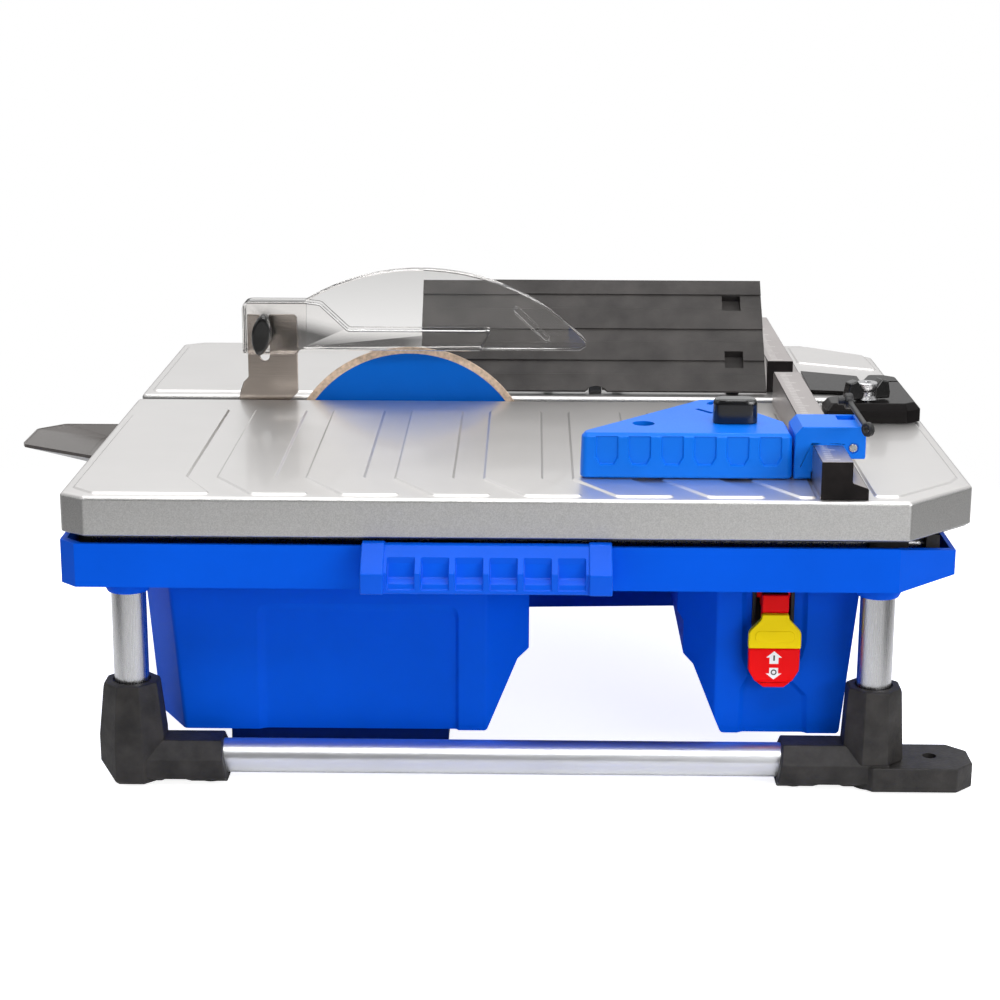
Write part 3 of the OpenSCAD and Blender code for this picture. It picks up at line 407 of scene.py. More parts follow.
# (place across a pad's edge, share of its height)
PAD_SLOPE = [(-0.9, 0), (-0.65, 0.06), (-0.4, 0.2), (0.4, 0.8), (0.65, 0.94), (0.9, 1)]


def pressed_plate(outline, pads, slot_edge):
    """Sheet with pads pressed up from it, a rolled rim, and a skirt folded down all round but for a
    short lip along the slot."""
    built = bmesh.new()

    def ring(points, height):
        return [built.verts.new((p.x, p.y, height(p) if callable(height) else height)) for p in points]

    def band(low, high):
        for i in range(len(low)):
            built.faces.new((low[i], low[i - 1], high[i - 1], high[i]))

    def fill(*rings):
        edges = [built.edges.get((r[i], r[i - 1])) or built.edges.new((r[i], r[i - 1]))
                 for r in rings for i in range(len(r))]
        bmesh.ops.triangle_fill(built, edges=edges, use_beauty=True)

    def fold(p):
        return LIP_Z if abs(p.y - slot_edge) < 2.2 else SKIRT_Z

    profile = [(RIM_ROLL * (1 - math.sin(a)), SHEET_Z - RIM_ROLL * (1 - math.cos(a)))
               for a in (math.radians(18 * i) for i in range(6))]
    profile += [(0, lambda p: fold(p) + 0.6), (0.6, fold), (1.4, fold),
                (SKIRT_THICK, lambda p: fold(p) + 0.6), (SKIRT_THICK, UNDER_Z)]
    rings = [ring(rounded(inset(outline, back), RIM_CORNER - back), height) for back, height in profile]
    for low, high in zip(rings, rings[1:]):
        band(low, high)
    fill(rings[-1])
    pad_rings = [[ring(rounded(inset(pad, back), PAD_CORNER - back), SHEET_Z + (TOP_Z - SHEET_Z) * share)
                  for back, share in PAD_SLOPE] for pad in pads]
    for slopes in pad_rings:
        for low, high in zip(slopes, slopes[1:]):
            band(low, high)
        fill(slopes[-1])
    fill(rings[0], *[slopes[0] for slopes in pad_rings])
    built.verts.index_update()
    solid = [tuple(v.co) for v in built.verts], [[v.index for v in face.verts] for face in built.faces]
    built.free()
    return solid


def two_finishes(thing):
    """The skirt keeps the first finish of a pressed plate; its top takes the second."""
    for face in thing.data.polygons:
        if face.normal.z > 0.6:
            face.material_index = 1


LEFT, RIGHT, BACK = -270.5, 270.5, 497
near_pads = [[(-251, 7), (-181, 7), (-201, 48), (-201, 241), (-244, 245), (-264, 220), (-264, 20)]]
for i in range(7):
    x = -182.5 + 53.6 * i
    right = min(x + 35, 173)
    near_pads.append([(x + 25, 7), (min(x + 60, 173), 7), (right, 48), (right, 241), (x, 241),
                      (x, 48)])
near_pads.append([(208, 11), (222, 11), (258, 46), (264, 58), (264, 272.5), (208, 272.5)])
near_outline = [(LEFT + 15, 0), (RIGHT - 43, 0), (RIGHT, 42), (RIGHT, SLOT_FRONT), (LEFT, SLOT_FRONT),
                (LEFT, 10)]
two_finishes(piece("near_plate", "table", "stainless",
                   [(skirt_steel, [pressed_plate(near_outline, near_pads, SLOT_FRONT)]), (table_steel, [])],
                   ["table_near"], 0))
far_pads = [[(-264, 302.5), (-87, 302.5), (-87, 485), (-252, 485), (-264, 472)],
            [(210, 422), (266, 394), (264, 452), (225, 486), (210, 486)],
            [(243, 296.5), (262, 296.5), (262, 308.5), (247, 308.5)]]
far_outline = [(LEFT, SLOT_BACK), (RIGHT, SLOT_BACK), (RIGHT, BACK - 49), (RIGHT - 50, BACK),
               (LEFT + 15, BACK), (LEFT, BACK - 10)]
two_finishes(piece("far_plate", "table", "stainless",
                   [(skirt_steel, [pressed_plate(far_outline, far_pads, SLOT_BACK)]), (table_steel, [])],
                   ["table_far"], 0))

# Fence bars: a grey ground top with ruler lines, and darker sides and cut ends
BAR_X = 175
BAR_TOP = TOP_Z + 21.6


def fence_bar(low, high):
    side = [(BAR_X, SHEET_Z), (203, SHEET_Z), (203, TOP_Z + 5), (202, TOP_Z + 6),
            (BAR_X + 18.4, TOP_Z + 9), (BAR_X + 18.4, BAR_TOP), (BAR_X, BAR_TOP)]
    bar = prism(rounded(side, [0.3, 0.3, 0.6, 0.6, 1.2, 0.9, 0.9], 3), low, high, "y", 0.5)
    slots = [block((BAR_X + 6, BAR_X + 12), (low + 8, high - 8), (SHEET_Z - 1, TOP_Z + 5), 0)]
    lines = []
    for i, y in enumerate(range(int(low) + 6, int(high) - 4, 5)):
        length = 8 if i % 5 == 0 else 4.5
        lines.append(block((BAR_X + 3.4, BAR_X + 3.4 + length), (y - 0.25, y + 0.25),
                           (BAR_TOP - 0.2, BAR_TOP + 0.03), 0, 0.05))
    return combine([bar], slots), lines


for name, (low, high) in {"fence_near": (4, 273), "fence_far": (313, 497)}.items():
    bar, lines = fence_bar(low, high)
    fence = piece(name + "_bar", "table", "black_aluminium",
                  [(fence_dark, [bar]), (fence_grey, []), (ruler_grey, lines)], [name], 0)
    for face in fence.data.polygons:
        if face.material_index == 0 and (face.normal.z > 0.8 or abs(face.normal.x) > 0.8):
            face.material_index = 1

# Bridge at the right end, and its wing lock
bridge = [(204, 206), (258, 206), (268, 214), (268, 303), (258, 312), (244, 312), (228, 262), (216, 240),
          (204, 232)]
LOCK = (232.6, 221)
bridge_rims = ((0.4, TOP_Z), (0, 187.5), (0, 195.5), (3.6, 199.6), (4.4, 200))
bridge_plate = combine([loft([[(*p, z) for p in rounded(inset(bridge, back), 2, 3)]
                              for back, z in bridge_rims])],
                       [block((220, 269), (283, 286), (198, 201), 0), rod(LOCK, 186, 201, 4.05)])
thin_plate = prism([(205.5, 307), (246, 300), (246, 359), (240, 362), (207, 377)], 187.05, 189, "z", 0.3)
piece("slot_bridge", "table", "cast_aluminium", [(bridge_black, [bridge_plate, thin_plate])],
      ["table_bridge"], 0.4)


def wing(side):
    lobe = [(side * x, z) for x, z in ((4, 1), (15.5, 0.6), (16, 5), (14.6, 12.5), (9.2, 14), (4, 8))]
    if side < 0:
        lobe.reverse()
    return moved(prism(rounded(lobe, 1.2, 3), -4, 4, "y", 1.2),
                 lambda p: Matrix.Rotation(math.radians(20), 3, "Z") @ p + Vector((*LOCK, 200.3)))


hub = turned([(4, 188), (4, 200.6), (7.2, 200.6), (7.5, 201), (5.4, 203.4), (5.2, 206), (7, 209),
              (7.2, 211.8), (6.6, 212.3), (2.6, 212.3), (2.4, 210.6)], LOCK)
piece("wing_lock", "bridge_lock", "black_plastic",
      [(black_gloss, [wing(1), wing(-1)]), (steel, [hub])], ["bridge_lock"], 0)


# ---- bevel ramp: shallow steps across its face, two pockets near its right end ----

HINGE_Y, HINGE_Z = 309, 192
RAMP_X = (-73, 173.5)
RAMP_LOW, RAMP_HIGH, RAMP_FACE = -9, 88, 4.9
RAMP_ANGLE = 45
face_line = [(RAMP_HIGH, -4), (RAMP_HIGH, RAMP_FACE)]
for low, high in ((63.25, 75), (34, 44.5), (5.9, 17)):
    face_line += [(high + 0.6, RAMP_FACE), (high + 0.4, RAMP_FACE - 1.1), (high, RAMP_FACE - 1.1),
                  (low, RAMP_FACE - 0.6), (low - 0.6, RAMP_FACE)]
face_line += [(RAMP_LOW, RAMP_FACE), (RAMP_LOW, 2.9), (0, 2.5), (85, 2.5), (85, -4)]
ramp_parts = [prism(face_line, *RAMP_X, "x"), rod((0, 0), RAMP_X[0] + 0.1, RAMP_X[1] - 0.1, 4.4, "x")]
for x in (RAMP_X[0] + 0.05, RAMP_X[1] - 3.05):
    ramp_parts.append(block((x, x + 3), (0, RAMP_HIGH - 0.05), (-4, 3), 0))
for x in (-40, 0, 84, 130):
    ramp_parts.append(block((x, x + 2.4), (6, 86), (-1, 3), 0))
ramp_cuts = [rod((0, 0), -80, 180, 2.3, "x"), block((13, 75), (84, 89), (-5, 2.4), 0),
             rod((52.5, -14.5), 2, 6, 9.5)]
for x in (-60, 52, 150):
    ramp_cuts.append(block((x - 5, x + 5), (-7.5, 5), (-8, 4.7), 0))
for low in (11.5, 61):
    ramp_parts.append(block((143.5, 159.8), (low - 1.5, low + 15.5), (-3.9, 3), 0))
    ramp_cuts.append(block((145, 158.3), (low, low + 14), (-2.6, 6), 0))


def leaned(solid):
    """From places on the ramp (across, up its slope, out of its face) to where it stands."""
    tilt = Matrix.Rotation(math.radians(RAMP_ANGLE), 3, "X")
    return moved(solid, lambda p: tilt @ p + Vector((0, HINGE_Y, HINGE_Z)))


piece("ramp_plate", "ramp", "black_plastic", [(ramp_black, [leaned(combine(ramp_parts, ramp_cuts))])],
      ["bevel_ramp"], 0.25)


# ---- pan, grip and chute ----

GRIP_X = (-92, 54)
GRIP_Y = -22
GRIP_LOW = 134
WINDOWS = 6
window_pitch = (GRIP_X[1] - GRIP_X[0] - 27) / WINDOWS


def grip_side(back):
    return rounded([(GRIP_Y + back, GRIP_LOW), (3, GRIP_LOW), (3, 160 - back / 2), (-4, 160 - back / 2),
                    (GRIP_Y + back, GRIP_LOW + 12.5)], [1.2, 1.2, 1.2, 2, 2], 4)


grip = [prism(grip_side(0), GRIP_X[0], GRIP_X[0] + 13.5, "x", 0.8),
        prism(grip_side(0), GRIP_X[1] - 13.5, GRIP_X[1], "x", 0.8),
        prism(grip_side(2), GRIP_X[0] + 13, GRIP_X[1] - 13, "x")]
scoop = [(-24, 136.2), (-19, 136.2), (-17.8, 139.8), (-13.4, 141.8), (-11, 150), (-10.4, 158), (-24, 158)]
grip_cuts = [block((GRIP_X[0] + 13.5, GRIP_X[1] - 13.5), (-9.5, 0.5), (133, 151.5), 0)]
for i in range(WINDOWS):
    start = GRIP_X[0] + 13.5 + i * window_pitch
    grip_cuts.append(prism(rounded(scoop, [1.2, 1.2, 1.2, 2.4, 2.4, 1.6, 1.2], 3),
                           start + 1.7, start + window_pitch - 1.7, "x", 0.9))
piece("pan_grip", "base", "blue_plastic", [(grip_blue, [combine(grip, grip_cuts)])], ["pan_handle"], 0.35)

chute = [(-347, 252), (-345, 247), (-292, 214), (-262, 198), (-262, 313), (-330, 313), (-347, 296)]
tray_foot = [(-301, 250), (-299, 246), (-285, 228), (-250, 212), (-250, 302), (-296, 302), (-301, 298)]
tray_top = [(-345.6, 252), (-344, 248.2), (-291.6, 215.4), (-250, 193), (-250, 311.6), (-329.5, 311.6),
            (-345.6, 295.5)]
CHUTE_RADII = [3, 3, 3, 1, 1, 6, 6]


def chute_ring(points, z):
    return [(*p, z) for p in rounded(points, CHUTE_RADII, 4)]


shallow = [Vector(a).lerp(Vector(b), 0.62) for a, b in zip(chute, tray_foot)]
chute_body = loft([chute_ring(shallow, 151), chute_ring(chute, 157.2), chute_ring(chute, 159.4)])
tray_cut = loft([chute_ring(tray_foot, 152.4), chute_ring(tray_foot, 152.5), chute_ring(tray_top, 159.2),
                 chute_ring(tray_top, 161)])
ridges = [block((-297, -263), (y, y + 1.2), (152, 152.9), 0.2, 0.2) for y in range(216, 300, 6)]
tongue = block((-268.2, -264), (205, 308), (142.5, 157.5), 0.3)
piece("chute_tray", "base", "smoky_plastic", [(smoky, [combine([chute_body, tongue], [tray_cut]), *ridges])],
      ["splash_chute"], 0)


# ---- housings ----

SHELL_LOW, SHELL_HIGH = 20, 130
SHELL_Y = (40, 262)
HOUSING_FRONT = 49
HOUSING_WALL = 3

def soft_recess(outer, inner, radii, face, depth):
    """Cut for a panel that is moulded back from a front face, with a soft slope around it."""
    rings = []
    for share, sink in ((0, -1.0), (0, 0.0), (0.15, 0.12), (0.4, 0.5), (0.7, 0.86), (1, 1)):
        points = [Vector(a).lerp(Vector(b), share) for a, b in zip(outer, inner)]
        radius = [radii[0] + (radii[1] - radii[0]) * share] * len(points)
        rings.append([(p.x, face + sink * depth, p.y) for p in rounded(points, radius, 6)])
    return loft(rings)


def housing(plan, side, inner_plan, inner_side, plan_radius, side_radius, cuts):
    """Shell with an open top: where an outline from above and an outline from the front agree. The plans
    give the outline from above at a height."""
    shell = combine([loft([[(*p, z) for p in rounded(plan(z), plan_radius, 6)]
                           for z in (SHELL_LOW, SHELL_HIGH)])],
                    keep=[prism(rounded(side, side_radius, 6), *SHELL_Y, "y")])
    cavity = combine([loft([[(*p, z) for p in inner_plan(z)] for z in (SHELL_LOW, SHELL_HIGH + 1)])],
                     keep=[prism(inner_side, *SHELL_Y, "y")])
    return combine([shell], [cavity, *cuts])


def motor_plan(back):
    def at_height(z):
        left = -215.5 + (SHELL_HIGH - z) * 0.078 + back
        return [(left, HOUSING_FRONT + back), (-20 - back * 0.4, HOUSING_FRONT + back),
                (6 - back, 75 + back * 0.4), (6 - back, 261.5), (left - 22, 261.5), (left - 22, 89)]
    return at_height


def motor_side(back):
    top = SHELL_HIGH + 1 if back else SHELL_HIGH
    return [(-236 + back, 25 + back), (-20 - back * 0.6, 25 + back), (-1 - back, 66), (6.5 - back, 71),
            (6.5 - back, top), (-242 + back, top)]


panel_outer = [(-161.6, 18), (-37.2, 18), (-37.2, 107), (-161.6, 107)]
panel_inner = [(-155, 18), (-39.5, 18), (-39.5, 100), (-155, 100)]
motor_cuts = [soft_recess(panel_outer, panel_inner, (9, 5), HOUSING_FRONT, 2.4),
              block((-200, -10), (255, 263), (34, 131), 0)]
piece("motor_shell", "base", "dark_blue_plastic",
      [(housing_blue, [housing(motor_plan(0), motor_side(0), motor_plan(HOUSING_WALL), motor_side(HOUSING_WALL),
                               [4, 3, 3, 1, 1, 6], [3, 3, 2, 2, 0.1, 0.1], motor_cuts)])],
      ["motor_housing"], 0.5)


def switch_plan(back):
    return lambda z: [(121 + back * 0.4, HOUSING_FRONT + back), (209 - back, HOUSING_FRONT + back),
                      (209 - back, 200), (98 + back, 200), (98 + back, 74 + back * 0.4)]


def switch_side(back):
    top = SHELL_HIGH + 1 if back else SHELL_HIGH
    return [(125 + back * 0.6, 25 + back), (198 - back, 25 + back), (208.5 - back, top), (98 + back, top),
            (98 + back, 97), (102 + back, 91), (102 + back, 70), (108 + back, 65)]


waist_outer = [(135, 18), (178.8, 18), (177.8, 50), (167.8, 60), (174, 74), (176.5, 84), (176.5, 132),
               (135, 132), (136.5, 74), (140.5, 62.5), (136, 54)]
waist_inner = [(139, 18), (174.8, 18), (174.2, 48.6), (163.2, 59.5), (170.2, 75.5), (172.5, 85), (172.5, 132),
               (139, 132), (140.4, 75.5), (144.6, 62.5), (140, 53)]
switch_cuts = [soft_recess(waist_outer, waist_inner, (1.5, 2), HOUSING_FRONT, 2.2),
               block((142.2, 168.2), (47, 54), (80, 126), 0)]
piece("switch_shell", "base", "dark_blue_plastic",
      [(pan_blue, [housing(switch_plan(0), switch_side(0), switch_plan(HOUSING_WALL), switch_side(HOUSING_WALL),
                           [3, 3, 2, 2, 3], [3, 3, 0.1, 0.1, 2, 2, 2, 2], switch_cuts)])],
      ["switch_housing"], 0.5)


# ---- switch ----

SWITCH_X = 155.2
PADDLE_Y = 37


def around_switch(points):
    return [(SWITCH_X + x, z) for x, z in points]


def both_sides(half):
    """Outline from its right half, bottom first, mirrored to the left."""
    return around_switch(half + [(-x, z) for x, z in half[::-1]])


red_half = [(5.5, 59.1), (11.6, 63.2), (15.4, 69.6), (15.7, 83.6)]
paddle = combine([
    prism(rounded(both_sides(red_half), [3, 3, 4, 1, 1, 4, 3, 3], 4), PADDLE_Y, PADDLE_Y + 5, "y", 0.9),
    prism(rounded(both_sides([(6.2, 59.4), (10, 62.4), (9.4, 63.2)]), [1.2, 1, 0.9, 0.9, 1, 1.2], 3),
          PADDLE_Y - 1.1, PADDLE_Y + 2, "y", 0.8),
    block((SWITCH_X - 8, SWITCH_X + 8), (PADDLE_Y + 4, PADDLE_Y + 10), (82.5, 117.5), 0.4),
    block((SWITCH_X - 8.2, SWITCH_X + 8.2), (PADDLE_Y + 1, PADDLE_Y + 10), (106.2, 117.5), 0.9, 1.5),
    block((SWITCH_X - 8, SWITCH_X + 8), (PADDLE_Y + 9, PADDLE_Y + 17), (107.5, 117.5), 0.4),
    rod((PADDLE_Y + 17, 114.5), SWITCH_X - 10.2, SWITCH_X + 10.2, 3, "x")],
    [block((SWITCH_X - 5, SWITCH_X + 5), (PADDLE_Y + 3, PADDLE_Y + 11), (85.5, 103.5), 0)])


def mark(outline, front):
    return prism(outline, front, front + 0.6, "y")


up_arrow = around_switch([(-2.7, 74.2), (2.7, 74.2), (2.7, 78.2), (4.8, 78.2), (0, 82.2), (-4.8, 78.2),
                          (-2.7, 78.2)])
down_arrow = around_switch([(0, 64.2), (4.8, 68), (2.7, 68), (2.7, 71.6), (-2.7, 71.6), (-2.7, 68),
                            (-4.8, 68)])
on_bar = around_switch([(-0.5, 76.2), (0.5, 76.2), (0.5, 79.6), (-0.5, 79.6)])
off_ring = [turned([(1.1, PADDLE_Y - 0.16), (1.8, PADDLE_Y - 0.16), (1.8, PADDLE_Y + 0.2),
                    (1.1, PADDLE_Y + 0.2)], (SWITCH_X, 68.8), "y", 24, True)]
piece("switch_lever", "switch_paddle", "red_plastic",
      [(red_gloss, [paddle]),
       (ink_white, [mark(up_arrow, PADDLE_Y - 0.12), mark(down_arrow, PADDLE_Y - 0.12)]),
       (frame_black, [mark(on_bar, PADDLE_Y - 0.16), *off_ring])],
      ["switch_paddle"], 0)

key_half = [(16, 84.1), (16, 94.5), (8.4, 102.5), (8.2, 105.6)]
key_front = prism(rounded(both_sides(key_half), [1, 5, 3, 1, 1, 3, 5, 1], 4),
                  PADDLE_Y - 1, PADDLE_Y + 3.6, "y", 0.8)
key_oval = prism(rounded(both_sides([(12, 88.2), (12, 95.2)]), 3.4, 5), PADDLE_Y - 1.4, PADDLE_Y, "y", 0.38)
key = combine([key_front, key_oval,
               block((SWITCH_X - 4.6, SWITCH_X + 4.6), (PADDLE_Y + 3, PADDLE_Y + 10.5), (86.5, 102.5), 0.4)])
piece("start_key", "safety_key", "yellow_plastic", [(yellow_gloss, [key])], ["safety_key"], 0)


# ---- frame ----

LEG_X = (-235.7, 215.3)
LEG_Y = (30, 467)
TUBE_R = 10.5
TUBE_Z = 15
TUBE_WALL = 1.5
EAR_BOLT_X, EAR_BOLT_R = 251.6, 4.25


def tube(centre, low, high, axis):
    return turned([(TUBE_R - 0.3, low), (TUBE_R, low + 0.3), (TUBE_R, high - 0.3), (TUBE_R - 0.3, high),
                   (TUBE_R - TUBE_WALL, high), (TUBE_R - TUBE_WALL, low)], centre, axis, 72, True)


# The legs take the darkened copy of the tube aluminium: painted shade.
piece("legs", "base", "tube_aluminium",
      [(leg_satin_painted_shade, [tube((x, y), 36, 129.8, "z") for x in LEG_X for y in LEG_Y])], ["leg_tubes"], 0, 50)
piece("rails", "base", "tube_aluminium",
      [(tube_satin, [tube((y, TUBE_Z), LEG_X[0] + 22, LEG_X[1] - 22, "x") for y in LEG_Y])],
      ["cross_tubes"], 0, 50)


def octagon(half, cut):
    return [(-half, -half + cut), (-half + cut, -half), (half - cut, -half), (half, -half + cut),
            (half, half - cut), (half - cut, half), (-half + cut, half), (-half, half - cut)]


# Towers of the feet, as (half width, corner cut, height)
LEFT_TOWER = [(17.5, 9.5, 2), (19.4, 11, 4), (19.6, 11.4, 31), (16.4, 9.6, 61.5), (15.8, 9.2, 63.4),
              (14.8, 8.6, 64)]
RIGHT_TOWER = [(12, 7, 6), (15.6, 9, 15.6), (17.6, 10.2, 17.6), (18.4, 10.7, 19), (16.2, 9.4, 61.5),
               (15.6, 9, 63.4), (14.6, 8.4, 64)]


def foot(x, y, side, tower_rings):
    """Tower for the leg and sleeve for the cross tube; side is +1 when the sleeve points right."""
    tower = loft([[(*p, z) for p in rounded(octagon(half, cut), 1.2, 3)] for half, cut, z in tower_rings])
    section = [(-11, 2), (11, 2), (18, 6), (18, 17.6), (9, 27.5), (-9, 27.5), (-18, 17.6), (-18, 6)]
    sleeve = moved(prism(rounded(section, 1.2, 3), -9, 56.2, "x", 1),
                   lambda p: p + Vector(((18 - p.z) * 0.14 if p.x > 40 else 0, 0, 0)))
    cuts = [rod((0, 0), 36, 66, TUBE_R + 0.05), rod((0, 0), 62.6, 66, 11.6),
            rod((0, TUBE_Z), 22, 60, TUBE_R + 0.05, "x"),
            prism([(15.3, 0), (38.2, 0), (33.3, 5), (20.8, 5)], -30, 30, "y"),
            prism([(-22, -1), (-4, -1), (-19.9, 15), (-22, 17)], -30, 30, "y")]
    solid = combine([tower, sleeve], cuts)
    return moved(solid, lambda p: Vector((x + side * p.x, y + p.y, p.z)))


def right_foot(y, ear_y):
    """Foot whose base runs on into an ear with a hole for a bolt; the ear's plate passes under the tower."""
    front, back = min(y, ear_y) - 20.5, max(y, ear_y) + 20.5
    ear = [(214, front), (265, front), (276, front + 11), (276, back - 11), (265, back), (214, back),
           (205, back - 9), (205, front + 9)]
    plate = prism(rounded(ear, 2, 4), 2, 17.4, "z", 1)
    return combine([foot(LEG_X[1], y, -1, RIGHT_TOWER), plate], [rod((EAR_BOLT_X, ear_y), 0, 20, EAR_BOLT_R)])


piece("feet_left", "base", "black_plastic",
      [(black_moulded, [foot(LEG_X[0], y, 1, LEFT_TOWER) for y in LEG_Y])], ["left_feet"], 0.5)
piece("feet_right", "base", "black_plastic",
      [(black_moulded, [right_foot(y, ear_y) for y, ear_y in zip(LEG_Y, (32, 465))])], ["right_feet"], 0.5)


# ---- blade and guard ----

BLADE_X, SLOT_Y = -79, 284.5
BLADE_R, RIM_INNER_R, BLADE_RISE = 88.9, 83.9, 36
ARBOR_Z = TOP_Z + BLADE_RISE - BLADE_R
core = turned([(7.92, -0.9), (78, -0.9), (RIM_INNER_R, -0.9), (RIM_INNER_R, 0.9), (78, 0.9), (7.92, 0.9)],
              (BLADE_X, ARBOR_Z), "y", 240, True)
rim = turned([(RIM_INNER_R, -0.95), (84.4, -1.1), (88.5, -1.1), (BLADE_R, -0.8), (BLADE_R, 0.8), (88.5, 1.1),
              (84.4, 1.1), (RIM_INNER_R, 0.95)], (BLADE_X, ARBOR_Z), "y", 240, True)
piece("disc", "blade", "blade_blue", [(blade_blue, [shifted(core, y=SLOT_Y)])], ["blade_core"], 0)
piece("diamond_edge", "blade", "diamond_rim", [(rim_bronze, [shifted(rim, y=SLOT_Y)])], ["blade_rim"], 0)

# Guard: two clear halves that meet in the middle of the slot. Heights along Y run from the front half's
# faces to where the halves meet
APEX, TIP, BOX_CORNER = (-63, 277.6), (45.5, 226.5), (-152, 255.5)
COVER_Y, SHOE_Y, MEETING_Y = 278.5, 275.5, 284.48
COVER_LOW = 221.5
GUARD_WALL = 1.6
STUD = (-181, 233.6)


def circle_through(a, b, c):
    a, b, c = Vector(a), Vector(b), Vector(c)
    d = 2 * (a.x * (b.y - c.y) + b.x * (c.y - a.y) + c.x * (a.y - b.y))
    squares = a.length_squared, b.length_squared, c.length_squared
    centre = Vector(((squares[0] * (b.y - c.y) + squares[1] * (c.y - a.y) + squares[2] * (a.y - b.y)) / d,
                     (squares[0] * (c.x - b.x) + squares[1] * (a.x - c.x) + squares[2] * (b.x - a.x)) / d))
    return centre, (a - centre).length


def guard_arc(back, first, last, steps=40):
    """Points along the guard's curved top from x = first to x = last, drawn in by back."""
    centre, radius = circle_through(BOX_CORNER, APEX, TIP)
    places = []
    for i in range(steps + 1):
        x = first + (last - first) * i / steps
        z = centre.y + math.sqrt(radius ** 2 - (x - centre.x) ** 2)
        places.append(centre + (Vector((x, z)) - centre).normalized() * (radius - back))
    return places


def cover(back, drop=0.0):
    """Outline of the curved blade cover, from its lower left corner."""
    bottom = COVER_LOW + (back if not drop else -drop)
    return [Vector((-152, bottom)), Vector((40 - back, bottom)), Vector((44.5 - back, bottom + 3))] \
        + guard_arc(back, 44.5 - back, -152)


def shoe(back, drop=0.0):
    """Outline of the box over the clamp bolt, with the band that stands out along the lower edge."""
    points = [(-195.6, 218.5 - drop), (-159, 218.5 - drop), (-155, COVER_LOW - drop), (-29.5, COVER_LOW - drop),
              (-21.3, 236), (-121.6, 236), (-141, 254.2), (-152, 255.5), (-195.6, 255.5)]
    return rounded(inset(points, back), [0.6] * 4 + [2, 4, 5, 5, max(0.8, 6 - back)], 5)


def guard_half():
    parts = [prism(cover(0), COVER_Y, MEETING_Y, "y", 0.7, (1, 0)),
             prism(shoe(0), SHOE_Y, MEETING_Y, "y", 0.9, (1, 0)),
             block((-12.1, -10.9), (277.9, 279.5), (245.5, 266), 0.2, 0.2),
             block((24.9, 26.1), (277.9, 279.5), (226.6, 243.3), 0.2, 0.2)]
    slant = [(-6.8, 248.9), (16.8, 226.5), (19.6, 229.6), (-4.2, 252.2)]
    parts.append(prism(rounded(slant, 2, 4), 277.7, 279.5, "y", 0.4))
    cuts = [prism(cover(GUARD_WALL, 2), COVER_Y + GUARD_WALL, 286, "y"),
            prism(shoe(GUARD_WALL, 2), SHOE_Y + GUARD_WALL, 286, "y"), rod(STUD, 274, 286, 3.05, "y")]
    slant_hollow = rounded(inset(slant, 1.1), 1.2, 4)
    cuts.append(prism(slant_hollow, 277, 278.2, "y"))
    return combine(parts, cuts)


near_half = guard_half()
piece("guard_front_half", "guard", "clear_plastic", [(guard_clear, [near_half])], ["guard_near"], 0)
piece("guard_back_half", "guard", "clear_plastic", [(guard_clear, [mirrored(near_half, SLOT_Y + 0.01)])],
      ["guard_far"], 0)

football = [(6.8 * math.cos(a), 14.4 * math.sin(a) * (0.78 + 0.22 * abs(math.sin(a))))
            for a in (2 * math.pi * i / 48 for i in range(48))]


def knob_ring(scale, y):
    turn = Matrix.Rotation(math.radians(-8), 2)
    return [on_axis("y", Vector(STUD) + turn @ (Vector(p) * scale), y) for p in football]


knob_body = loft([knob_ring(s, y) for s, y in ((0.96, 272.1), (1, 271.3), (1, 266), (0.97, 264),
                                               (0.88, 262.7), (0.7, 262.1))])
knob_disc = turned([(3.05, 275.3), (7.2, 275.3), (7.5, 275), (7.5, 272.6), (7.2, 272.2), (3.05, 272.2)],
                   STUD, "y", 48, True)
piece("guard_wing_knob", "guard_knob", "black_plastic", [(black_gloss, [knob_body, knob_disc])],
      ["guard_knob"], 0)


# ---- guide on the near fence bar ----

PIVOT = (131, 80)
block_outline = [(38, 47.5), (161, 47.5), (163.3, 50), (163.3, 84), (128, 150), (114, 150), (37, 57),
                 (36, 52)]
block_radii = [7, 2.5, 2, 4, 5, 6, 6, 5]
room = [(43, 51), (158, 51), (159, 52), (159, 82), (126, 145), (116, 145), (43, 56)]
body_shape = loft([[(*p, z) for p in rounded(inset(block_outline, back), block_radii, 6)] for back, z in
                   ((0.6, 187.6), (0, 188.4), (0, 196), (0.5, 212.2), (0.8, 213), (1.5, 213.5), (2.2, 214.6),
                    (2.9, 215))])
arm_room = [(131, 70.4), (191, 70.4), (191, 150), (127, 110)]
block_cuts = [combine([prism(room, 187, 211.5)], [rod(PIVOT, 195.6, 215, 8)]),
              prism(arm_room, 187, 195.6), rod(PIVOT, 187, 216, 3.05), rod((75, 75.5), 205, 216, 6.8, "z")]
for i in range(6):
    x = 51.9 + 19.6 * i
    outer = [(x - 4.2, 195.3), (x + 4.2, 195.3), (x + 7, 200.3), (x + 7, 217), (x - 7, 217), (x - 7, 200.3)]
    inner = [(x - 4, 196.2), (x + 4, 196.2), (x + 6.2, 200.6), (x + 6.2, 217), (x - 6.2, 217),
             (x - 6.2, 200.6)]
    top_cut = combine([soft_recess(outer, inner, (0.8, 0.8), 47.6, 1.5)],
                      [block((x - 9, x + 9), (40, 60), (213.1, 220), 0)])
    block_cuts.append(top_cut)
slot_back = [(117.4, 133), (121, 131), (129, 148.6), (119.6, 140)]
slot_front = [(109, 118), (118, 105), (121, 107), (111.6, 120)]
block_cuts += [prism(rounded(slot_front, 1.2, 3), 205, 216), prism(rounded(slot_back, 1.2, 3), 205, 216)]
piece("angle_block", "guide_block", "blue_plastic", [(guide_blue, [combine([body_shape], block_cuts)])],
      ["guide_block"], 0.3)

KNOB_BAR = [(13.6 * math.copysign(abs(math.cos(a)) ** 0.45, math.cos(a)),
             6.5 * math.copysign(abs(math.sin(a)) ** 0.6, math.sin(a)))
            for a in (2 * math.pi * i / 64 for i in range(64))]


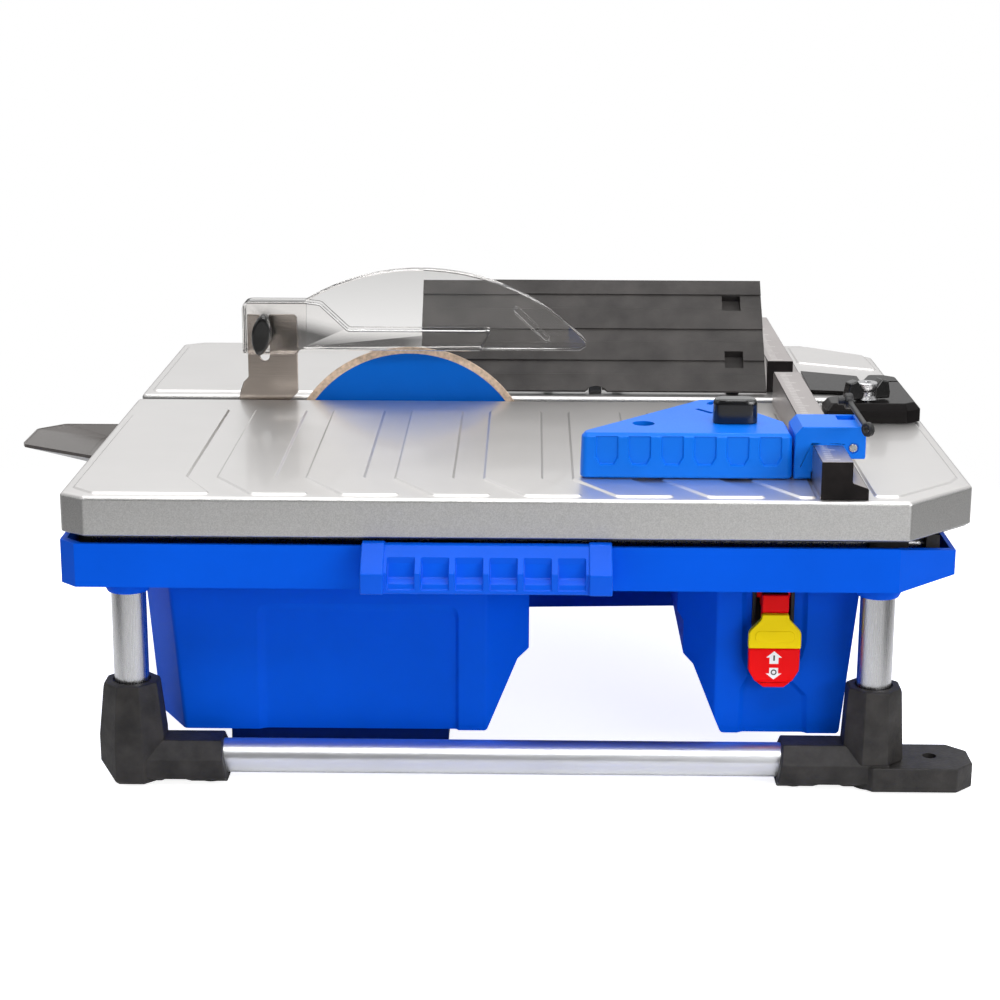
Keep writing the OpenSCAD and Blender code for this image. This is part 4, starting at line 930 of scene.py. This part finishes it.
def bar_ring(scale, z):
    return [(PIVOT[0] + x * scale, PIVOT[1] + y * scale, z) for x, y in KNOB_BAR]


piece("swivel_knob", "guide_knob", "black_plastic",
      [(black_gloss, [loft([bar_ring(s, z) for s, z in ((0.985, 215.5), (1, 216.2), (0.985, 226.6),
                                                        (0.96, 228.6), (0.9, 229.8), (0.78, 230.4))]),
                      turned([(3, 189.5), (3, 216)], PIVOT, "z", 48)])],
      ["guide_knob"], 0)

HEAD_Y = (47.5, 84)
HEAD_TOP = 219.7
LEVER_X, LEVER_Y, LEVER_Z = 203.5, 103, 224
SCREW = (199.2, 206.8)
head_outline = [(164.3, 187.6), (174.65, 187.6), (174.65, 208.95), (193.75, 208.95), (193.75, 200),
                (206.7, 200), (206.7, HEAD_TOP), (168.6, HEAD_TOP), (164.3, 214.7)]
head_shape = prism(rounded(head_outline, [0.5, 0.3, 0.3, 0.3, 0.8, 1.2, 1.4, 0.8, 0.8], 3), *HEAD_Y, "y", 0.8)
head_parts = [head_shape, block((190, 195.5), (45.6, 48.5), (209.4, 214.6), 0.5),
              block((196.5, 200.7), (82, 86), (209, 216), 0.4)]
head_lug = combine([block((196.5, 200.7), (84.1, LEVER_Y), (209, LEVER_Z), 0.4),
                    rod((LEVER_Y, LEVER_Z), 196.5, 200.7, 6, "x", 0.4)],
                   [rod((LEVER_Y, LEVER_Z), 196, 201, 2.55, "x")])
head_cuts = [block((192, 203), (68, 80), (213, 221), 0),
             block((160, 172), (70.98, 85), (190.98, 195.02), 0), rod(SCREW, 46, 48.4, 3.3, "y"),
             block((166.2, 174.6), (62, 90), (187, 189.5), 0)]
screw = combine([rod(SCREW, 47.3, 48.6, 2.5, "y", 0.5, 32)], [prism(circle(SCREW, 1.3, 6), 46, 48, "y")])
piece("slide_head", "guide", "blue_plastic",
      [(guide_blue, [combine(head_parts, head_cuts)]), (steel, [screw]), (frame_black, [head_lug])],
      ["guide_head"], 0)

RING_Y = 22.5
ring = turned([(2.2, -1.8), (3.6, -1.8), (4.3, -1.1), (4.3, 1.1), (3.6, 1.8), (2.2, 1.8), (1.9, 1.4),
               (1.9, -1.4)], (0, 0), "y", 40, True)
ring = moved(ring, lambda p: Matrix.Rotation(math.radians(-52), 3, "Z") @ p
             + Vector((LEVER_X, RING_Y, LEVER_Z)))
lever_boss = turned([(2.5, 196.8), (2.5, 201), (4.6, 201), (5, 201.4), (5, 204.6), (4.4, 205.6), (3, 206)],
                    (LEVER_Y, LEVER_Z), "x", 48)
lever_bar = swept([(LEVER_X, LEVER_Y, LEVER_Z), (LEVER_X, 80, LEVER_Z), (LEVER_X, 50, LEVER_Z),
                   (LEVER_X, RING_Y + 3.4, LEVER_Z)], 1.7, 24)
piece("cam_lever", "clamp_lever", "steel", [(frame_black, [combine([lever_boss, lever_bar]), ring])],
      ["clamp_lever"], 0)


# ---- CAD nodes that keep their shape ----

finish = {
    "water_pan": pan_blue, "housing_base": base_blue, "foot_pads": rubber_black, "slide_rods": steel,
    "rod_brackets": black_moulded, "guard_bracket": bracket_steel, "motor_can": steel,
    "motor_end_bell": black_moulded, "gear_case": cast_grey, "arbor_bearings": steel,
    "switch_frame": black_moulded, "switch_module": black_moulded, "controller_board": board_green,
    "terminal_block": black_moulded, "housing_screws": steel, "subframe_beams": frame_black,
    "cross_beam": frame_black, "slide_bushings": black_moulded, "splash_skirt": rubber_black,
    "fence_screws": steel, "ramp_hinge_ears": frame_black, "ramp_hinge_rods": steel, "arbor_shaft": steel,
    "blade_flanges": steel, "arbor_nut": steel, "driven_gear": steel, "motor_rotor": winding_copper,
    "motor_pinion": steel, "guard_bolt": steel, "guide_arm": steel,
    "ramp_stay": frame_black, "battery_pack": black_moulded, "battery_latch": red_gloss,
    "drain_plug": rubber_black,
}
for node_name, node_finish in finish.items():
    node = frame["nodes"][node_name]
    node.data.materials.clear()
    node.data.materials.append(node_finish)
    soften(node, 0.5, 38)


# ---- studio ----

def lamp(name, place, target, size, power):
    """A soft rectangular lamp."""
    data = bpy.data.lights.new(name, "AREA")
    data.shape = "RECTANGLE"
    data.size, data.size_y = size
    data.energy = power
    thing = bpy.data.objects.new(name, data)
    thing.location = place
    thing.rotation_euler = (Vector(target) - Vector(place)).to_track_quat("-Z", "Y").to_euler()
    bpy.context.scene.collection.objects.link(thing)


lamp("top_light", (0, 0.2, 1.7), (0, 0, 0.1), (1.6, 1.1), 14)
lamp("left_light", (-1.5, -1.0, 1.0), (0, 0, 0.1), (0.8, 1.0), 3.5)
lamp("right_light", (1.5, -0.9, 0.9), (0, 0, 0.1), (0.8, 1.0), 6)
lamp("front_light", (0.2, -1.2, 1.6), (0, 0, 0.1), (1.5, 0.5), 15)
lamp("low_light", (1.1, -1.6, 0.55), (0, 0, 0.1), (0.9, 0.5), 10)

# The world is white to the camera. The object is lit by walls that are bright behind it and dim in
# front, and by a ground whose brightness changes with direction
world = bpy.data.worlds.new("studio")
bpy.context.scene.world = world
world.use_nodes = True
sky = world.node_tree
direction = sky.nodes.new("ShaderNodeSeparateXYZ")
sky.links.new(sky.nodes.new("ShaderNodeTexCoord").outputs["Generated"], direction.inputs[0])


def calculate(operation, *values):
    node = sky.nodes.new("ShaderNodeMath")
    node.operation = operation
    for socket, value in zip(node.inputs, values):
        if isinstance(value, bpy.types.NodeSocket):
            sky.links.new(value, socket)
        else:
            socket.default_value = value
    return node.outputs[0]


def greys(value, stops):
    """Brightness along a value of 0 to 1."""
    return colour_ramp(sky, value, [(position, (grey,) * 3) for position, grey in stops])


height = calculate("MULTIPLY_ADD", direction.outputs["Z"], 0.5, 0.5)
facing = calculate("MULTIPLY_ADD", direction.outputs["Y"], 0.5, 0.5)
walls = calculate("MULTIPLY", greys(height, [(0.48, 0.12), (0.54, 0.16), (0.585, 0.9), (0.75, 1.0)]),
                  greys(facing, [(0.1, 0.16), (0.4, 0.30), (0.65, 0.75), (0.9, 1.0)]))
ground = calculate("MULTIPLY", greys(height, [(0.41, 1.0), (0.47, 0.0)]),
                   greys(facing, [(0.05, 0.75), (0.2, 0.12), (0.38, 0.12), (0.5, 0.4), (0.62, 0.4),
                                  (0.9, 0.92)]))
shades = calculate("MAXIMUM", walls, ground)
seen = sky.nodes.new("ShaderNodeLightPath").outputs["Is Camera Ray"]
choice = sky.nodes.new("ShaderNodeMix")
choice.data_type = "RGBA"
sky.links.new(seen, choice.inputs["Factor"])
sky.links.new(shades, choice.inputs["A"])
choice.inputs["B"].default_value = (1, 1, 1, 1)
sky.links.new(choice.outputs["Result"], sky.nodes["Background"].inputs["Color"])

# White floor that fades into the white background, between two distances from the middle
FLOOR = 8
FADE_FROM, FADE_TO = 0.36, 0.75
floor_mesh = bpy.data.meshes.new("floor")
floor_mesh.from_pydata([(x, y, 0) for x, y in rectangle((-FLOOR, FLOOR), (-FLOOR, FLOOR))], [], [(0, 1, 2, 3)])
floor = bpy.data.objects.new("floor", floor_mesh)
bpy.context.scene.collection.objects.link(floor)
paper = Nodes("floor_white")
paper.link(paper.ramp(paper.noise(3, 2), [(0.3, (0.93, 0.93, 0.93)), (0.7, (0.95, 0.95, 0.95))]),
           paper.shader.inputs["Base Color"])
paper.shader.inputs["Roughness"].default_value = 0.8
paper.shader.inputs["Specular IOR Level"].default_value = 0.1
reach = paper.tree.nodes.new("ShaderNodeVectorMath")
reach.operation = "LENGTH"
paper.link(paper.place, reach.inputs[0])
fade = paper.tree.nodes.new("ShaderNodeMapRange")
fade.interpolation_type = "SMOOTHSTEP"
for socket, value in (("From Min", FADE_FROM), ("From Max", FADE_TO), ("To Min", 1), ("To Max", 0)):
    fade.inputs[socket].default_value = value
paper.link(reach.outputs["Value"], fade.inputs["Value"])
paper.link(fade.outputs["Result"], paper.shader.inputs["Alpha"])
paper.shader.inputs["Emission Color"].default_value = (1, 1, 1, 1)
eye = paper.tree.nodes.new("ShaderNodeLightPath").outputs["Is Camera Ray"]
paper.link(paper.between(eye, 0, 0.85), paper.shader.inputs["Emission Strength"])
floor.data.materials.append(paper.material)

camera = bpy.data.objects.new("camera", bpy.data.cameras.new("camera"))
bpy.context.scene.collection.objects.link(camera)
camera.data.lens = 79.4
camera.location = at(5.9, -1240.6, 506.7)
pitch, yaw, roll = (math.radians(a) for a in (14.51, 0.80, 0.20))
camera.rotation_euler = (Matrix.Rotation(yaw, 3, "Z") @ Matrix.Rotation(math.pi / 2 - pitch, 3, "X")
                         @ Matrix.Rotation(roll, 3, "Z")).to_euler()
bpy.context.scene.camera = camera
bpy.context.scene.view_settings.view_transform = "Standard"
